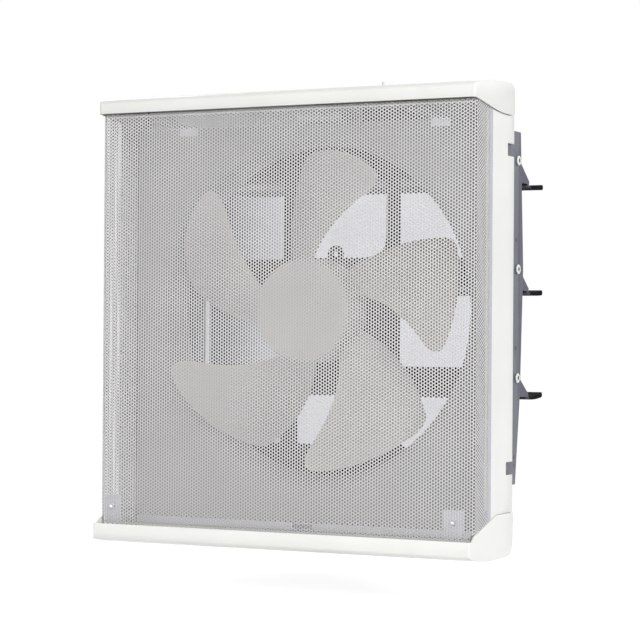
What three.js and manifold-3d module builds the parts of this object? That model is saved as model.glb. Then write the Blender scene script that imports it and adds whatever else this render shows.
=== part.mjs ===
// Wall-frame exhaust fan with a hinged perforated filter, a five-blade propeller and a linked louvre shutter.
// Millimetres. Origin: where the fan's axis meets the wall plane.
// +X to the right as seen from the room, +Y outdoors through the wall, +Z up.

import * as THREE from "three";
import { mergeVertices } from "three/addons/utils/BufferGeometryUtils.js";
import Module from "manifold-3d";

const wasm = await Module();
wasm.setup();

// ---------------------------------------------------------------- driving dimensions

const SHEET = 1; // pressed steel sheet
const GAP = 0.3; // clearance between neighbouring pieces
const LAP = 0.2; // how far joined stretches of one piece run into each other

const FACE_SIZE = 319; // width and height of the filter's face
const AXIS_RISE = 5; // fan axis above the middle of the face
const BODY_DEPTH = 75.4; // filter face to wall plane

const FILTER_DEPTH = 31.6; // filter face to the rear edge of its sides
const FILTER_BEND = 3; // outer radius of its vertical folds
const FILTER_LIP = 13; // turned lips along its top and bottom
const FILTER_GRID = { columns: 8, rows: 8, opening: 24, side: 17, edge: 4, foot: 20 }; // coarse openwork
const FILTER_TOP_DROP = 2; // top lip below the face's top
const FILTER_SKIRT = 4; // lower lip below the face's bottom

const CORNER_PLATE = { width: 16, height: 21, thickness: 1.2, inset: 5.5, shift: -3.5 };
const RIVET = { radius: 2, head: 3.6, headHeight: 1.2 };

const CAP_OVERHANG = 5.3; // cap front ahead of the filter face
const CAP_FRONT_HEIGHT = 11.4;
const CAP_CROWN = 5.6; // rise of the cap's top from front to rear
const CAP_SIDE_DROP = 6.2; // fall of the side's lower edge from front to rear
const CAP_SIDE_OVERHANG = 1.4; // cap's sides beyond the filter's and panels'
const CAP_REAR_GAP = 2.6; // cap's rear edge to the wall plane
const CAP_CORNER_RADIUS = 3;
const CAP_EDGE_RADIUS = 4;
const CAP_REAR_RADIUS = 8;

const TRAY_SHEET = 1.2;
const TRAY_OVERHANG = 11; // tray front ahead of the filter face
const TRAY_LIP_DROP = 3.6; // front lip below the face's bottom
const TRAY_LIP_HEIGHT = 8;
const TRAY_DEPTH = 17; // front lip to the lowest floor
const TRAY_NOSE_RISE = 4; // floor's front edge above the lowest floor
const TRAY_NOSE_RADIUS = 5;
const TRAY_SIDE_RISE = 12.4; // side walls above the face's bottom, at the rear
const TRAY_RAMP_START = 2; // where the side wall's slope starts, ahead of the face
const TRAY_RAMP_END = 42; // and where it ends, behind the face
const TRAY_SIDE_OVERHANG = 0.8;
const TRAY_CORNER_RADIUS = 2.6;
const TRAY_REAR_RADIUS = 15;
const FINGER_RECESS = { width: 65, height: 3, front: 8, depth: 30 };

const PANEL_SHEET = 1.4;
const TONGUE_REACH = 8; // how far the joggled tongues run behind the neighbouring pieces
const TONGUE_LAP = 4; // width of the stretch where tongue and panel are one
const LATCH_NOTCH = { depth: 13.4, height: 9.8, fromTop: 32.5, fromBottom: 45.9 };

const ORIFICE_MARGIN = 28.5; // orifice's edge to the body's side
const ORIFICE_SHEET = 1.2;
const BELL_RADIUS = 12.5; // the bell mouth's roll
const PAN_SETBACK = 50; // filter face to the pan's front
const PAN_INSET = { top: 8.5, bottom: 0 }; // pan inside the face's outline
const FLANGE_INSET = 14.5; // flange's lower edge above the face's bottom, clear of the tray's rear wall
const THROAT_END = 10.5; // rear end of the throat, outdoors of the wall plane

const SILL = { drop: 8, setback: 38.5, sheet: 1, lap: 12, inset: 8, notch: 17, notchDepth: 4.4 };

const FLANGE_SHEET = 1.5; // mounting flange on the wall
const FLANGE_HOLE = { radius: 2.6, inset: 7, fromCorner: 50 };

const DUCT_INSET = { side: 18.5, top: 12.5, bottom: 29.5 }; // duct inside the face's outline
const DUCT_SHEET = 1.2;
const DUCT_FOOT = 6; // turned foot of the duct against the flange
const DUCT_REAR = { top: 62.5, middle: 69.3, lower: 63.6, bottom: 54.2 };
const DUCT_LOWER_BEND = 70; // lower bend of the rear edge above the duct's foot
const DUCT_MIDDLE_BEND = 108; // upper bend of it below the duct's top

const LOUVRE_COUNT = 3;
const LOUVRE_SPACING = 0.3087; // pivot to pivot, as a share of the duct's height
const LOUVRE_HANG = 22.7; // first pivot below the duct's top
const LOUVRE_Y = 56.6; // pivots, outdoors of the wall plane
const LOUVRE_SHEET = 1;
const LOUVRE_DROP = 17; // blade's outer edge below its pivot
const LOUVRE_SLOPE = 3.5; // rise of the blade's inner edge over its outer edge
const LOUVRE_INNER = 16; // blade's inner edge, indoors of the pivot
const LOUVRE_OUTER = 30; // metal blade's outer edge, outdoors of the pivot
const LOUVRE_FLANGE = { rise: 9, lean: 3 }; // inner flange: top above the pivot, and its lean indoors
const LOUVRE_LIFT = [0, 0, 2.7]; // degrees by which each blade stands above level on its pivots
const LOUVRE_END_GAP = 0.8; // to the duct's sides
const LINK_BAY = 10; // room for the link beside the left ends of the louvres
const EAR_RADIUS = 6;
const PIVOT_RADIUS = 1.5;
const RUN = 0.3; // running clearance round a pivot
const LIP = { inner: 25, outer: 61.5, thickness: 2, sag: 1.4, bead: 2.1 };

const STRIP = { gap: 5, overlap: 6, foot: 10 }; // strip behind the lowest louvre's closed lip
const HEADER = { gap: 2, overlap: 2, foot: 8 }; // strip above the uppermost louvre's flange

const BUSHING = { barrel: 2.8, flange: 3.85, flangeThickness: 1.2, inside: 0.5 };

const LINK = { width: 7, thickness: 1.5, armY: 9.9, armZ: 9.9, pin: 1.4, head: 2.6 };

const ACTUATOR = { length: 26, depth: 27, height: 30, shaftY: 19, shaftZ: 21, corner: 3, foot: 1.5 };
const CRANK = { thickness: 1.5, shaft: 2.5, eye: 4 };

const BRACKET_SHEET = 1.6;
const BRACKET_Y = 29.4; // front face of the motor bracket
const BRACKET_TOP = 43.3;
const BRACKET_BOTTOM = 63.7;
const LEG_SPACING = 92; // between the legs' centre lines
const LEG_WIDTH = 12;
const LEG_FOOT_WIDTH = 20; // legs widen towards their lower ends
const LEG_FILLET = 18;
const LEG_TAB = 14;
const LUG = { radius: 7, shift: -5, rise: 3 }; // ear over the bracket's upper edge

const MOTOR_RADIUS = 40;
const MOTOR_FRONT = -4;
const MOTOR_SHELL = 1.6;
const MOTOR_SPLIT = 13; // where the two shells meet
const MOTOR_NOSE = { radius: 15, length: 5 };
const CORE = { front: 6, rear: 20, bore: 23, slots: 8, slotWidth: 6, slotDepth: 9 };
const COIL = { reach: 4, inset: 1 };
const BEARING = { radius: 10, width: 6 };
const SHAFT_RADIUS = 4;

const TIP_CLEARANCE = 4.6; // blade tips to the orifice
const HUB_RADIUS = 40.5;
const HUB_FRONT = -36;
const HUB_REAR = -7;
const HUB_WALL = 2.4;
const HUB_BOSS = 12;
const HUB_CLEARANCE = 2; // hub's boss to the motor's nose
const BLADES = 5;
const FIRST_BLADE = 6; // degrees anticlockwise from +X, seen from the room
const BLADE_THICKNESS = 2;
const BLADE_CAMBER = 10; // rise of the tip's middle towards the room
const TIP_BULGE = 2.6; // exponent of the tip outline: larger is squarer
// Rounded corners of a blade's tip: how far each falls in mm, and its width as a share of the chord.
const TIP_CORNER = { leading: 16, leadingWidth: 0.15, trailing: 6, trailingWidth: 0.07 };
// The two edges of a blade, each through three stations of [radius, degrees from the first blade's line, y].
// A station's radius is its share of the fan's.
const LEADING_EDGE = [
  [0.332, 10, -21.1],
  [0.633, -9.2, -29.4],
  [0.957, -24.3, -45],
];
const TRAILING_EDGE = [
  [0.332, 43.3, -8.6],
  [0.633, 32.8, 3.3],
  [0.972, 20.7, 5.3],
];

const SPINNER = { thickness: 4.2, edge: 3, boss: 8, bossLength: 7 };
const DRIVE_PIN = { radius: 1.5, length: 21, depth: 0.5 };

const WIRE_BOX = { x: 66, width: 46, depth: 20, height: 9.5, mouth: 16, mouthDepth: 2 };
const CAPACITOR = { x: 6, width: 38, depth: 20, height: 9.5 };
const CORD_BUSHING = { x: 82, y: -64, radius: 3.6, bore: 2, above: 2.4, below: 2.4, flange: 5 };

const SCREW = { radius: 2, head: 3.6, headHeight: 2.2, length: 7 };
const CLIP = { fromSide: 49.5, width: 16, sheet: 0.8, drop: 5, ramp: 7, flat: 5, toe: 3, foot: 6 };

// ---------------------------------------------------------------- places worked out from them

const HALF = FACE_SIZE / 2;
const FACE_Y = -BODY_DEPTH;
const FACE_TOP = HALF - AXIS_RISE;
const FACE_BOTTOM = -HALF - AXIS_RISE;
const FILTER_REAR = FACE_Y + FILTER_DEPTH;

const CAP_FRONT = FACE_Y - CAP_OVERHANG;
const CAP_BASE = FACE_TOP + GAP;
const CAP_TOP = CAP_BASE + CAP_FRONT_HEIGHT + CAP_CROWN;

const TRAY_FRONT = FACE_Y - TRAY_OVERHANG;
const TRAY_LIP = FACE_BOTTOM - TRAY_LIP_DROP;
const TRAY_FLOOR = TRAY_LIP - TRAY_DEPTH;
const TRAY_SIDE_TOP = FACE_BOTTOM + TRAY_SIDE_RISE;

const TONGUE_OUTER = HALF - SHEET - GAP; // outer face of the joggled tongues
const TONGUE_INNER = TONGUE_OUTER - SHEET;
const PANEL_INNER = HALF - PANEL_SHEET;
const PAN_HALF = TONGUE_INNER - GAP; // pan and flange sit between the tongues
const PAN_TOP = FACE_TOP - PAN_INSET.top;
const PAN_BOTTOM = -FACE_BOTTOM - PAN_INSET.bottom;
const FLANGE_BOTTOM = -FACE_BOTTOM - FLANGE_INSET;
const ORIFICE_RADIUS = HALF - ORIFICE_MARGIN;
const FAN_RADIUS = ORIFICE_RADIUS - TIP_CLEARANCE;
const PAN_FRONT = FACE_Y + PAN_SETBACK;
const FLANGE_FRONT = -FLANGE_SHEET;

const DUCT_HALF_WIDTH = HALF - DUCT_INSET.side;
const DUCT_TOP = FACE_TOP - DUCT_INSET.top;
const DUCT_BOTTOM = -FACE_BOTTOM - DUCT_INSET.bottom;
const DUCT_INNER = DUCT_HALF_WIDTH - DUCT_SHEET;
const LOUVRE_PITCH = (DUCT_TOP + DUCT_BOTTOM) * LOUVRE_SPACING;
const LOUVRE_TOP = DUCT_TOP - LOUVRE_HANG;
const LOUVRE_RIGHT = DUCT_INNER - LOUVRE_END_GAP;
const LOUVRE_LEFT = -(DUCT_INNER - LINK_BAY - LINK.thickness);
const LINK_X = LOUVRE_LEFT - 4; // right face of the link bar
const HUB_BORE = SHAFT_RADIUS + GAP;
const BOSS_REAR = MOTOR_FRONT - MOTOR_NOSE.length - HUB_CLEARANCE;
const PIN_Y = BOSS_REAR - DRIVE_PIN.radius - DRIVE_PIN.depth;
const MOTOR_REAR = BRACKET_Y - GAP;

// ---------------------------------------------------------------- solids

// A closed geometry as a solid that can be joined and cut.
function solid(geometry) {
  const bare = geometry.index ? geometry.toNonIndexed() : geometry.clone();
  bare.deleteAttribute("normal");
  bare.deleteAttribute("uv");
  const merged = mergeVertices(bare, 1e-4);
  return new wasm.Manifold(
    new wasm.Mesh({
      numProp: 3,
      vertProperties: new Float32Array(merged.attributes.position.array),
      triVerts: new Uint32Array(merged.index.array),
    }),
  );
}

// A solid back as a flat-shaded geometry.
function geometryOf(body) {
  const mesh = body.getMesh();
  const count = mesh.numVert;
  const positions = new Float32Array(count * 3);
  for (let i = 0; i < count; i++) {
    const from = i * mesh.numProp;
    positions.set(mesh.vertProperties.subarray(from, from + 3), i * 3);
  }
  const indexed = new THREE.BufferGeometry();
  indexed.setAttribute("position", new THREE.BufferAttribute(positions, 3));
  indexed.setIndex(new THREE.BufferAttribute(new Uint32Array(mesh.triVerts), 1));
  const flat = indexed.toNonIndexed();
  flat.computeVertexNormals();
  return flat;
}

function join(...bodies) {
  return bodies.reduce((sum, body) => sum.add(body));
}

function cut(body, ...tools) {
  return tools.reduce((rest, tool) => rest.subtract(tool), body);
}

function common(a, b) {
  return a.intersect(b);
}

// A closed outline through corner points [a, b].
function outline(points) {
  return new THREE.Shape(points.map(([a, b]) => new THREE.Vector2(a, b)));
}

function extruded(shape, depth, matrix, curveSegments = 8) {
  const geometry = new THREE.ExtrudeGeometry(shape, { depth, bevelEnabled: false, curveSegments });
  geometry.applyMatrix4(matrix);
  return solid(geometry);
}

// Prism of a (y, z) outline between two x.
function prismX(shape, x0, x1, curveSegments) {
  const turn = new THREE.Matrix4().makeBasis(
    new THREE.Vector3(0, 1, 0),
    new THREE.Vector3(0, 0, 1),
    new THREE.Vector3(1, 0, 0),
  );
  turn.setPosition(x0, 0, 0);
  return extruded(shape, x1 - x0, turn, curveSegments);
}

// Prism of an (x, z) outline between two y.
function prismY(shape, y0, y1, curveSegments) {
  const turn = new THREE.Matrix4().makeBasis(
    new THREE.Vector3(1, 0, 0),
    new THREE.Vector3(0, 0, 1),
    new THREE.Vector3(0, -1, 0),
  );
  turn.setPosition(0, y1, 0);
  return extruded(shape, y1 - y0, turn, curveSegments);
}

// Prism of an (x, y) outline between two z.
function prismZ(shape, z0, z1, curveSegments) {
  return extruded(shape, z1 - z0, new THREE.Matrix4().makeTranslation(0, 0, z0), curveSegments);
}

function box(x0, x1, y0, y1, z0, z1) {
  const geometry = new THREE.BoxGeometry(x1 - x0, y1 - y0, z1 - z0);
  geometry.translate((x0 + x1) / 2, (y0 + y1) / 2, (z0 + z1) / 2);
  return solid(geometry);
}

// Round rod along x, y or z through the point (a, b) of the other two axes.
function rodX(radius, x0, x1, y, z, sides = 10) {
  const geometry = new THREE.CylinderGeometry(radius, radius, x1 - x0, sides);
  geometry.rotateZ(Math.PI / 2);
  geometry.translate((x0 + x1) / 2, y, z);
  return solid(geometry);
}

function rodY(radius, y0, y1, x, z, sides = 10) {
  const geometry = new THREE.CylinderGeometry(radius, radius, y1 - y0, sides);
  geometry.translate(x, (y0 + y1) / 2, z);
  return solid(geometry);
}

function rodZ(radius, z0, z1, x, y, sides = 10) {
  const geometry = new THREE.CylinderGeometry(radius, radius, z1 - z0, sides);
  geometry.rotateX(Math.PI / 2);
  geometry.translate(x, y, (z0 + z1) / 2);
  return solid(geometry);
}

// Solid of revolution about the y axis, from a closed profile of [radius, y] points.
function revolved(points, sides = 24) {
  const profile = points.map(([r, y]) => new THREE.Vector2(r, y));
  if (THREE.ShapeUtils.area(profile) < 0) profile.reverse();
  profile.push(profile[0].clone());
  return solid(new THREE.LatheGeometry(profile, sides));
}

// A revolved ring about the x axis, from [radius, x] points.
function ringX(points, sides = 10) {
  const geometry = geometryOf(revolved(points, sides));
  geometry.rotateZ(-Math.PI / 2);
  return solid(geometry);
}

// A revolved ring about the z axis, from [radius, z] points.
function ringZ(points, sides = 14) {
  const geometry = geometryOf(revolved(points, sides));
  geometry.rotateX(Math.PI / 2);
  return solid(geometry);
}

function moved(body, x, y, z) {
  return body.translate([x, y, z]);
}

function mirroredX(body) {
  return body.mirror([1, 0, 0]);
}

// ---------------------------------------------------------------- the side outline shared by cap, tray, filter and panels

// Lower edge of the cap's sides, from front to rear, as [y, z] points.
function capEdge(shift) {
  const curve = new THREE.CubicBezierCurve(
    new THREE.Vector2(CAP_FRONT, CAP_BASE),
    new THREE.Vector2(FACE_Y * 0.67, CAP_BASE - CAP_SIDE_DROP * 0.6),
    new THREE.Vector2(FACE_Y * 0.4, CAP_BASE - CAP_SIDE_DROP * 1.4),
    new THREE.Vector2(0, CAP_BASE - CAP_SIDE_DROP),
  );
  return curve.getPoints(7).map((p) => [p.x, p.y + shift]);
}

// Upper edge of the tray's sides, from front to rear.
function trayEdge(shift) {
  return [
    [TRAY_FRONT, TRAY_LIP + shift],
    [FACE_Y - TRAY_RAMP_START - TRAY_LIP_DROP, TRAY_LIP + shift],
    [FACE_Y - TRAY_RAMP_START, FACE_BOTTOM - GAP + shift],
    [FACE_Y + TRAY_RAMP_END, TRAY_SIDE_TOP + shift],
    [0, TRAY_SIDE_TOP + shift],
  ];
}

// What lies between the tray's edge and the cap's edge, less the gap.
function sideWindow() {
  return outline([...capEdge(-GAP), ...trayEdge(GAP).reverse()]);
}

// Plan outline with two rounded front corners, mirrored about x = 0.
function frontRoundedPlan(halfWidth, front, rear, radius) {
  const shape = new THREE.Shape();
  shape.moveTo(-halfWidth, rear);
  shape.lineTo(-halfWidth, front + radius);
  shape.absarc(-halfWidth + radius, front + radius, radius, Math.PI, 1.5 * Math.PI, false);
  shape.lineTo(halfWidth - radius, front);
  shape.absarc(halfWidth - radius, front + radius, radius, 1.5 * Math.PI, 2 * Math.PI, false);
  shape.lineTo(halfWidth, rear);
  return shape;
}

// ---------------------------------------------------------------- cap

// Side profile of the cap, inset by a wall; the cavity's profile runs on below the edges.
function capProfile(inset) {
  const front = CAP_FRONT + inset;
  const rear = -CAP_REAR_GAP - inset;
  const shoulder = CAP_BASE + CAP_FRONT_HEIGHT - inset;
  const top = CAP_TOP - inset;
  const edge = CAP_EDGE_RADIUS - inset;
  const back = CAP_REAR_RADIUS - inset;
  const shape = new THREE.Shape();
  if (inset === 0) {
    const lower = capEdge(0);
    shape.moveTo(...lower[0]);
    for (const point of lower.slice(1, -1)) shape.lineTo(...point);
    shape.lineTo(rear, CAP_BASE - CAP_SIDE_DROP);
  } else {
    shape.moveTo(front, CAP_BASE - CAP_SIDE_DROP * 2);
    shape.lineTo(rear, CAP_BASE - CAP_SIDE_DROP * 2);
  }
  shape.lineTo(rear, top - back);
  shape.quadraticCurveTo(rear, top, rear - back, top);
  shape.quadraticCurveTo(CAP_FRONT + BODY_DEPTH * 0.45, top, front + edge, shoulder);
  shape.quadraticCurveTo(front, shoulder - edge * 0.2, front, shoulder - edge);
  return shape;
}

// Solid of the cap's or the tray's side profile with rounded front corners, for one wall inset.
function cornered(profile, halfWidth, front, radius) {
  const low = TRAY_FLOOR - 1;
  const high = CAP_TOP + 1;
  const plan = prismZ(frontRoundedPlan(halfWidth, front, 0, radius), low, high);
  return common(prismX(profile, -halfWidth, halfWidth), plan);
}

function topCap() {
  const half = HALF + CAP_SIDE_OVERHANG;
  const outer = cornered(capProfile(0), half, CAP_FRONT, CAP_CORNER_RADIUS);
  const inner = CAP_CORNER_RADIUS - SHEET;
  const inside = cornered(capProfile(SHEET), half - SHEET, CAP_FRONT + SHEET, inner);
  const bore = rodZ(CORD_BUSHING.radius + GAP, CAP_BASE, CAP_TOP + 1, CORD_BUSHING.x, CORD_BUSHING.y);
  return cut(outer, inside, bore);
}

// Height of the cap's top face at a given y.
function capTopAt(y) {
  const points = capProfile(0).getPoints(24);
  const roof = points.filter((p) => p.y > CAP_BASE + CAP_FRONT_HEIGHT / 2).sort((a, b) => a.x - b.x);
  const next = roof.findIndex((p) => p.x >= y);
  const a = roof[next - 1];
  const b = roof[next];
  return a.y + ((b.y - a.y) * (y - a.x)) / (b.x - a.x);
}

function cordBushing() {
  const top = capTopAt(CORD_BUSHING.y);
  const { radius, bore, above, below, flange } = CORD_BUSHING;
  const ring = ringZ([
    [bore, -SHEET - below],
    [flange, -SHEET - below],
    [flange, -SHEET - 3 * GAP],
    [radius, -SHEET - 3 * GAP],
    [radius, above],
    [bore, above],
  ]);
  return moved(ring, CORD_BUSHING.x, CORD_BUSHING.y, top - LAP);
}

// ---------------------------------------------------------------- oil tray

function trayProfile(inset) {
  const front = TRAY_FRONT + inset;
  const rear = -inset;
  const floor = TRAY_FLOOR + inset;
  const round = TRAY_REAR_RADIUS - inset;
  const shape = new THREE.Shape();
  if (inset === 0) {
    const edge = trayEdge(0);
    shape.moveTo(...edge[4]);
    for (const point of edge.slice(0, 4).reverse()) shape.lineTo(...point);
  } else {
    shape.moveTo(rear, TRAY_SIDE_TOP + 10);
    shape.lineTo(front, TRAY_SIDE_TOP + 10);
  }
  shape.lineTo(front, TRAY_LIP - TRAY_LIP_HEIGHT);
  const nose = floor + TRAY_NOSE_RISE;
  shape.quadraticCurveTo(front, nose, front + TRAY_NOSE_RADIUS, nose);
  shape.quadraticCurveTo(FACE_Y * 0.84, floor, FACE_Y * 0.58, floor);
  shape.lineTo(rear - round, floor);
  shape.quadraticCurveTo(rear, floor, rear, floor + round);
  return shape;
}

function fingerRecess(grow) {
  const { width, height, front, depth } = FINGER_RECESS;
  const half = width / 2 + grow;
  const top = TRAY_FLOOR + height + grow;
  const shape = outline([
    [-half - height, TRAY_FLOOR - 1],
    [half + height, TRAY_FLOOR - 1],
    [half, top],
    [-half, top],
  ]);
  return prismY(shape, FACE_Y + front - grow, FACE_Y + front + depth + grow);
}

function oilTray() {
  const half = HALF + TRAY_SIDE_OVERHANG;
  const wall = TRAY_SHEET;
  const outer = cornered(trayProfile(0), half, TRAY_FRONT, TRAY_CORNER_RADIUS);
  const inside = cornered(trayProfile(wall), half - wall, TRAY_FRONT + wall, TRAY_CORNER_RADIUS - wall);
  return cut(outer, fingerRecess(0), cut(inside, fingerRecess(wall)));
}

// ---------------------------------------------------------------- filter

function filterPlan() {
  const outer = frontRoundedPlan(HALF, FACE_Y, FILTER_REAR, FILTER_BEND);
  const inner = frontRoundedPlan(HALF - SHEET, FACE_Y + SHEET, FILTER_REAR + 1, FILTER_BEND - SHEET);
  const low = FACE_BOTTOM - 1;
  const high = FACE_TOP + 1;
  return cut(prismZ(outer, low, high, 4), prismZ(inner, low - 1, high + 1, 4));
}

// Evenly spaced starts of count openings of a given width between two limits.
function spaced(count, from, to, width) {
  return Array.from({ length: count }, (_, i) => from + ((to - from - width) * i) / (count - 1));
}

// Square openings of the face and the folded sides, fewer and larger than the real sheet's round holes.
function filterOpenings() {
  const { columns, rows, opening, side, edge, foot } = FILTER_GRID;
  const half = HALF - FILTER_BEND - edge;
  const heights = spaced(rows, FACE_BOTTOM + foot, FACE_TOP - FILTER_BEND - edge, opening);
  const middle = (FACE_Y + FILTER_BEND + FILTER_REAR) / 2;
  const openings = [];
  for (const z of heights) {
    for (const x of spaced(columns, -half, half, opening))
      openings.push(box(x, x + opening, FACE_Y - 1, FACE_Y + SHEET + 1, z, z + opening));
    openings.push(box(-HALF - 1, HALF + 1, middle - side / 2, middle + side / 2, z, z + opening));
  }
  return openings;
}

function filterScreen() {
  const folded = common(filterPlan(), prismX(sideWindow(), -HALF - 1, HALF + 1));
  const half = TONGUE_INNER;
  const top = FACE_TOP - FILTER_TOP_DROP;
  const bottom = FACE_BOTTOM - FILTER_SKIRT;
  const topLip = box(-half, half, FACE_Y, FACE_Y + FILTER_LIP, top - SHEET, top);
  const skirt = box(-half, half, FACE_Y, FACE_Y + SHEET, bottom, FACE_BOTTOM + 2);
  const lowerLip = box(-half, half, FACE_Y, FACE_Y + FILTER_LIP, bottom, bottom + SHEET);
  return cut(join(folded, topLip, skirt, lowerLip), ...filterOpenings());
}

// A retaining plate behind a lower corner of the filter, in place on the right.
function cornerPlate() {
  const { width, height, thickness, inset } = CORNER_PLATE;
  const x1 = HALF - inset;
  const y0 = FACE_Y + SHEET + GAP;
  const z0 = FACE_BOTTOM - FILTER_SKIRT + SHEET + GAP;
  const plate = box(x1 - width, x1, y0, y0 + thickness, z0, z0 + height);
  const hole = rodY(RIVET.radius + GAP, y0 - 1, y0 + thickness + 1, x1 - width / 2, z0 + height * 0.55);
  return cut(plate, hole);
}

function cornerRivet() {
  const { width, height, thickness, inset } = CORNER_PLATE;
  const x = HALF - inset - width / 2;
  const y = FACE_Y + SHEET + GAP;
  const z = FACE_BOTTOM - FILTER_SKIRT + SHEET + GAP + height * 0.55;
  const shank = rodY(RIVET.radius, y, y + thickness + GAP + LAP, x, z);
  const head = rodY(RIVET.head, y + thickness + GAP, y + thickness + GAP + RIVET.headHeight, x, z);
  return join(shank, head);
}

// ---------------------------------------------------------------- body

// Right side panel: outer plate with joggled tongues behind filter, cap and tray, notched at the wall.
function sidePanel() {
  const front = FILTER_REAR + GAP;
  const plate = common(
    prismX(sideWindow(), PANEL_INNER, HALF),
    box(PANEL_INNER, HALF, front, 0, TRAY_FLOOR, CAP_TOP),
  );
  const seat = PANEL_INNER + LAP;
  const reach = TONGUE_REACH;
  const lap = TONGUE_LAP;
  const capEnd = CAP_BASE - CAP_SIDE_DROP;
  const low = TRAY_SIDE_TOP;
  const frontTongue = box(TONGUE_INNER, seat, front - reach, front + lap, low + 4, capEnd - 4);
  const capRear = -CAP_REAR_GAP - SHEET - GAP;
  const trayRear = -TRAY_SHEET - GAP;
  const topTongue = box(TONGUE_INNER, seat, front - reach, capRear, capEnd - lap * 2, capEnd + reach);
  const lowTongue = box(TONGUE_INNER, seat, front, trayRear, low - reach, low + lap * 2);
  const notches = [FACE_TOP - LATCH_NOTCH.fromTop, FACE_BOTTOM + LATCH_NOTCH.fromBottom].map((z) =>
    box(
      TONGUE_INNER - 1,
      HALF + 1,
      -LATCH_NOTCH.depth,
      1,
      z - LATCH_NOTCH.height / 2,
      z + LATCH_NOTCH.height / 2,
    ),
  );
  return cut(join(plate, frontTongue, topTongue, lowTongue), ...notches);
}

// Profile of the bell mouth and throat, as [radius, y] points.
function bellProfile() {
  const points = [];
  const steps = 4;
  const rollCentre = ORIFICE_RADIUS + BELL_RADIUS;
  const rollY = PAN_FRONT + BELL_RADIUS;
  for (let i = 0; i <= steps; i++) {
    const angle = (i / steps) * 0.5 * Math.PI;
    points.push([rollCentre - BELL_RADIUS * Math.sin(angle), rollY - BELL_RADIUS * Math.cos(angle)]);
  }
  points.push([ORIFICE_RADIUS, THROAT_END]);
  points.push([ORIFICE_RADIUS + ORIFICE_SHEET, THROAT_END]);
  const inner = BELL_RADIUS - ORIFICE_SHEET;
  for (let i = steps; i >= 0; i--) {
    const angle = (i / steps) * 0.5 * Math.PI;
    points.push([rollCentre - inner * Math.sin(angle), rollY - inner * Math.cos(angle)]);
  }
  return points;
}

// Pressed pan that closes the body round the fan, with its bell mouth.
function orificePan() {
  const outer = box(-PAN_HALF, PAN_HALF, PAN_FRONT, FLANGE_FRONT - GAP, -PAN_BOTTOM, PAN_TOP);
  const hollow = box(
    -PAN_HALF + ORIFICE_SHEET,
    PAN_HALF - ORIFICE_SHEET,
    PAN_FRONT + ORIFICE_SHEET,
    0,
    -PAN_BOTTOM + ORIFICE_SHEET,
    PAN_TOP - ORIFICE_SHEET,
  );
  const mouth = rodY(ORIFICE_RADIUS + BELL_RADIUS - LAP, PAN_FRONT - 1, FLANGE_FRONT, 0, 0, 48);
  return join(cut(outer, hollow, mouth), revolved(bellProfile(), 48));
}

// Drip strip under the pan's lower wall, turned down into the tray, with its middle notch.
function dripSill() {
  const { drop, setback, sheet, lap, inset, notch, notchDepth } = SILL;
  const y0 = FACE_Y + setback;
  const top = -PAN_BOTTOM - GAP;
  const half = PAN_HALF - inset;
  const leg = box(-half, half, y0, PAN_FRONT + lap, top - sheet, top);
  const lip = box(-half, half, y0, y0 + sheet, top - sheet - drop, top);
  const gap = box(-notch / 2, notch / 2, y0 - 1, y0 + sheet + 1, top - notchDepth, top + 1);
  return cut(join(leg, lip), gap);
}

// Centres of the four screw holes of the mounting flange.
function flangeHoles() {
  const x = PAN_HALF - FLANGE_HOLE.inset;
  const half = FLANGE_BOTTOM - FLANGE_HOLE.fromCorner;
  return [
    [-x, -half],
    [x, -half],
    [-x, half],
    [x, half],
  ];
}

// Flat ring that is screwed to the wall frame; the duct stands behind it.
function mountingFlange() {
  const ring = box(-PAN_HALF, PAN_HALF, FLANGE_FRONT, 0, -FLANGE_BOTTOM, PAN_TOP);
  const opening = box(
    -DUCT_INNER,
    DUCT_INNER,
    FLANGE_FRONT - 1,
    1,
    -DUCT_BOTTOM + DUCT_SHEET,
    DUCT_TOP - DUCT_SHEET,
  );
  const holes = flangeHoles().map(([x, z]) => rodY(FLANGE_HOLE.radius, FLANGE_FRONT - 1, 1, x, z));
  return cut(ring, opening, ...holes);
}

// Spring clip under the cap that holds the filter's top lip.
function filterClip(side) {
  const { fromSide, width, sheet, drop, ramp, flat, toe, foot } = CLIP;
  const x = side * (HALF - fromSide);
  const top = FACE_TOP - FILTER_TOP_DROP - SHEET - GAP;
  const low = top - drop;
  const rear = PAN_FRONT - GAP;
  const ramped = FACE_Y + FILTER_LIP + ramp + sheet;
  const seat = ramped - ramp;
  const front = seat - flat;
  const shape = outline([
    [rear, low - foot],
    [rear, low + sheet],
    [ramped, low + sheet],
    [seat, top],
    [front, top],
    [front - toe, top - toe],
    [front - toe + sheet, top - toe - sheet],
    [front + sheet / 2, top - sheet],
    [seat, top - sheet],
    [ramped, low],
    [rear - sheet, low],
    [rear - sheet, low - foot],
  ]);
  return prismX(shape, x - width / 2, x + width / 2);
}

// ---------------------------------------------------------------- duct and shutter

function louvreZ(index) {
  return LOUVRE_TOP - index * LOUVRE_PITCH;
}

// Side outline of the duct: its rear edge tapers above and below the middle louvre.
function ductSide() {
  return outline([
    [0, -DUCT_BOTTOM],
    [DUCT_REAR.bottom, -DUCT_BOTTOM],
    [DUCT_REAR.lower, DUCT_LOWER_BEND - DUCT_BOTTOM],
    [DUCT_REAR.middle, DUCT_TOP - DUCT_MIDDLE_BEND],
    [DUCT_REAR.top, DUCT_TOP],
    [0, DUCT_TOP],
  ]);
}

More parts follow.
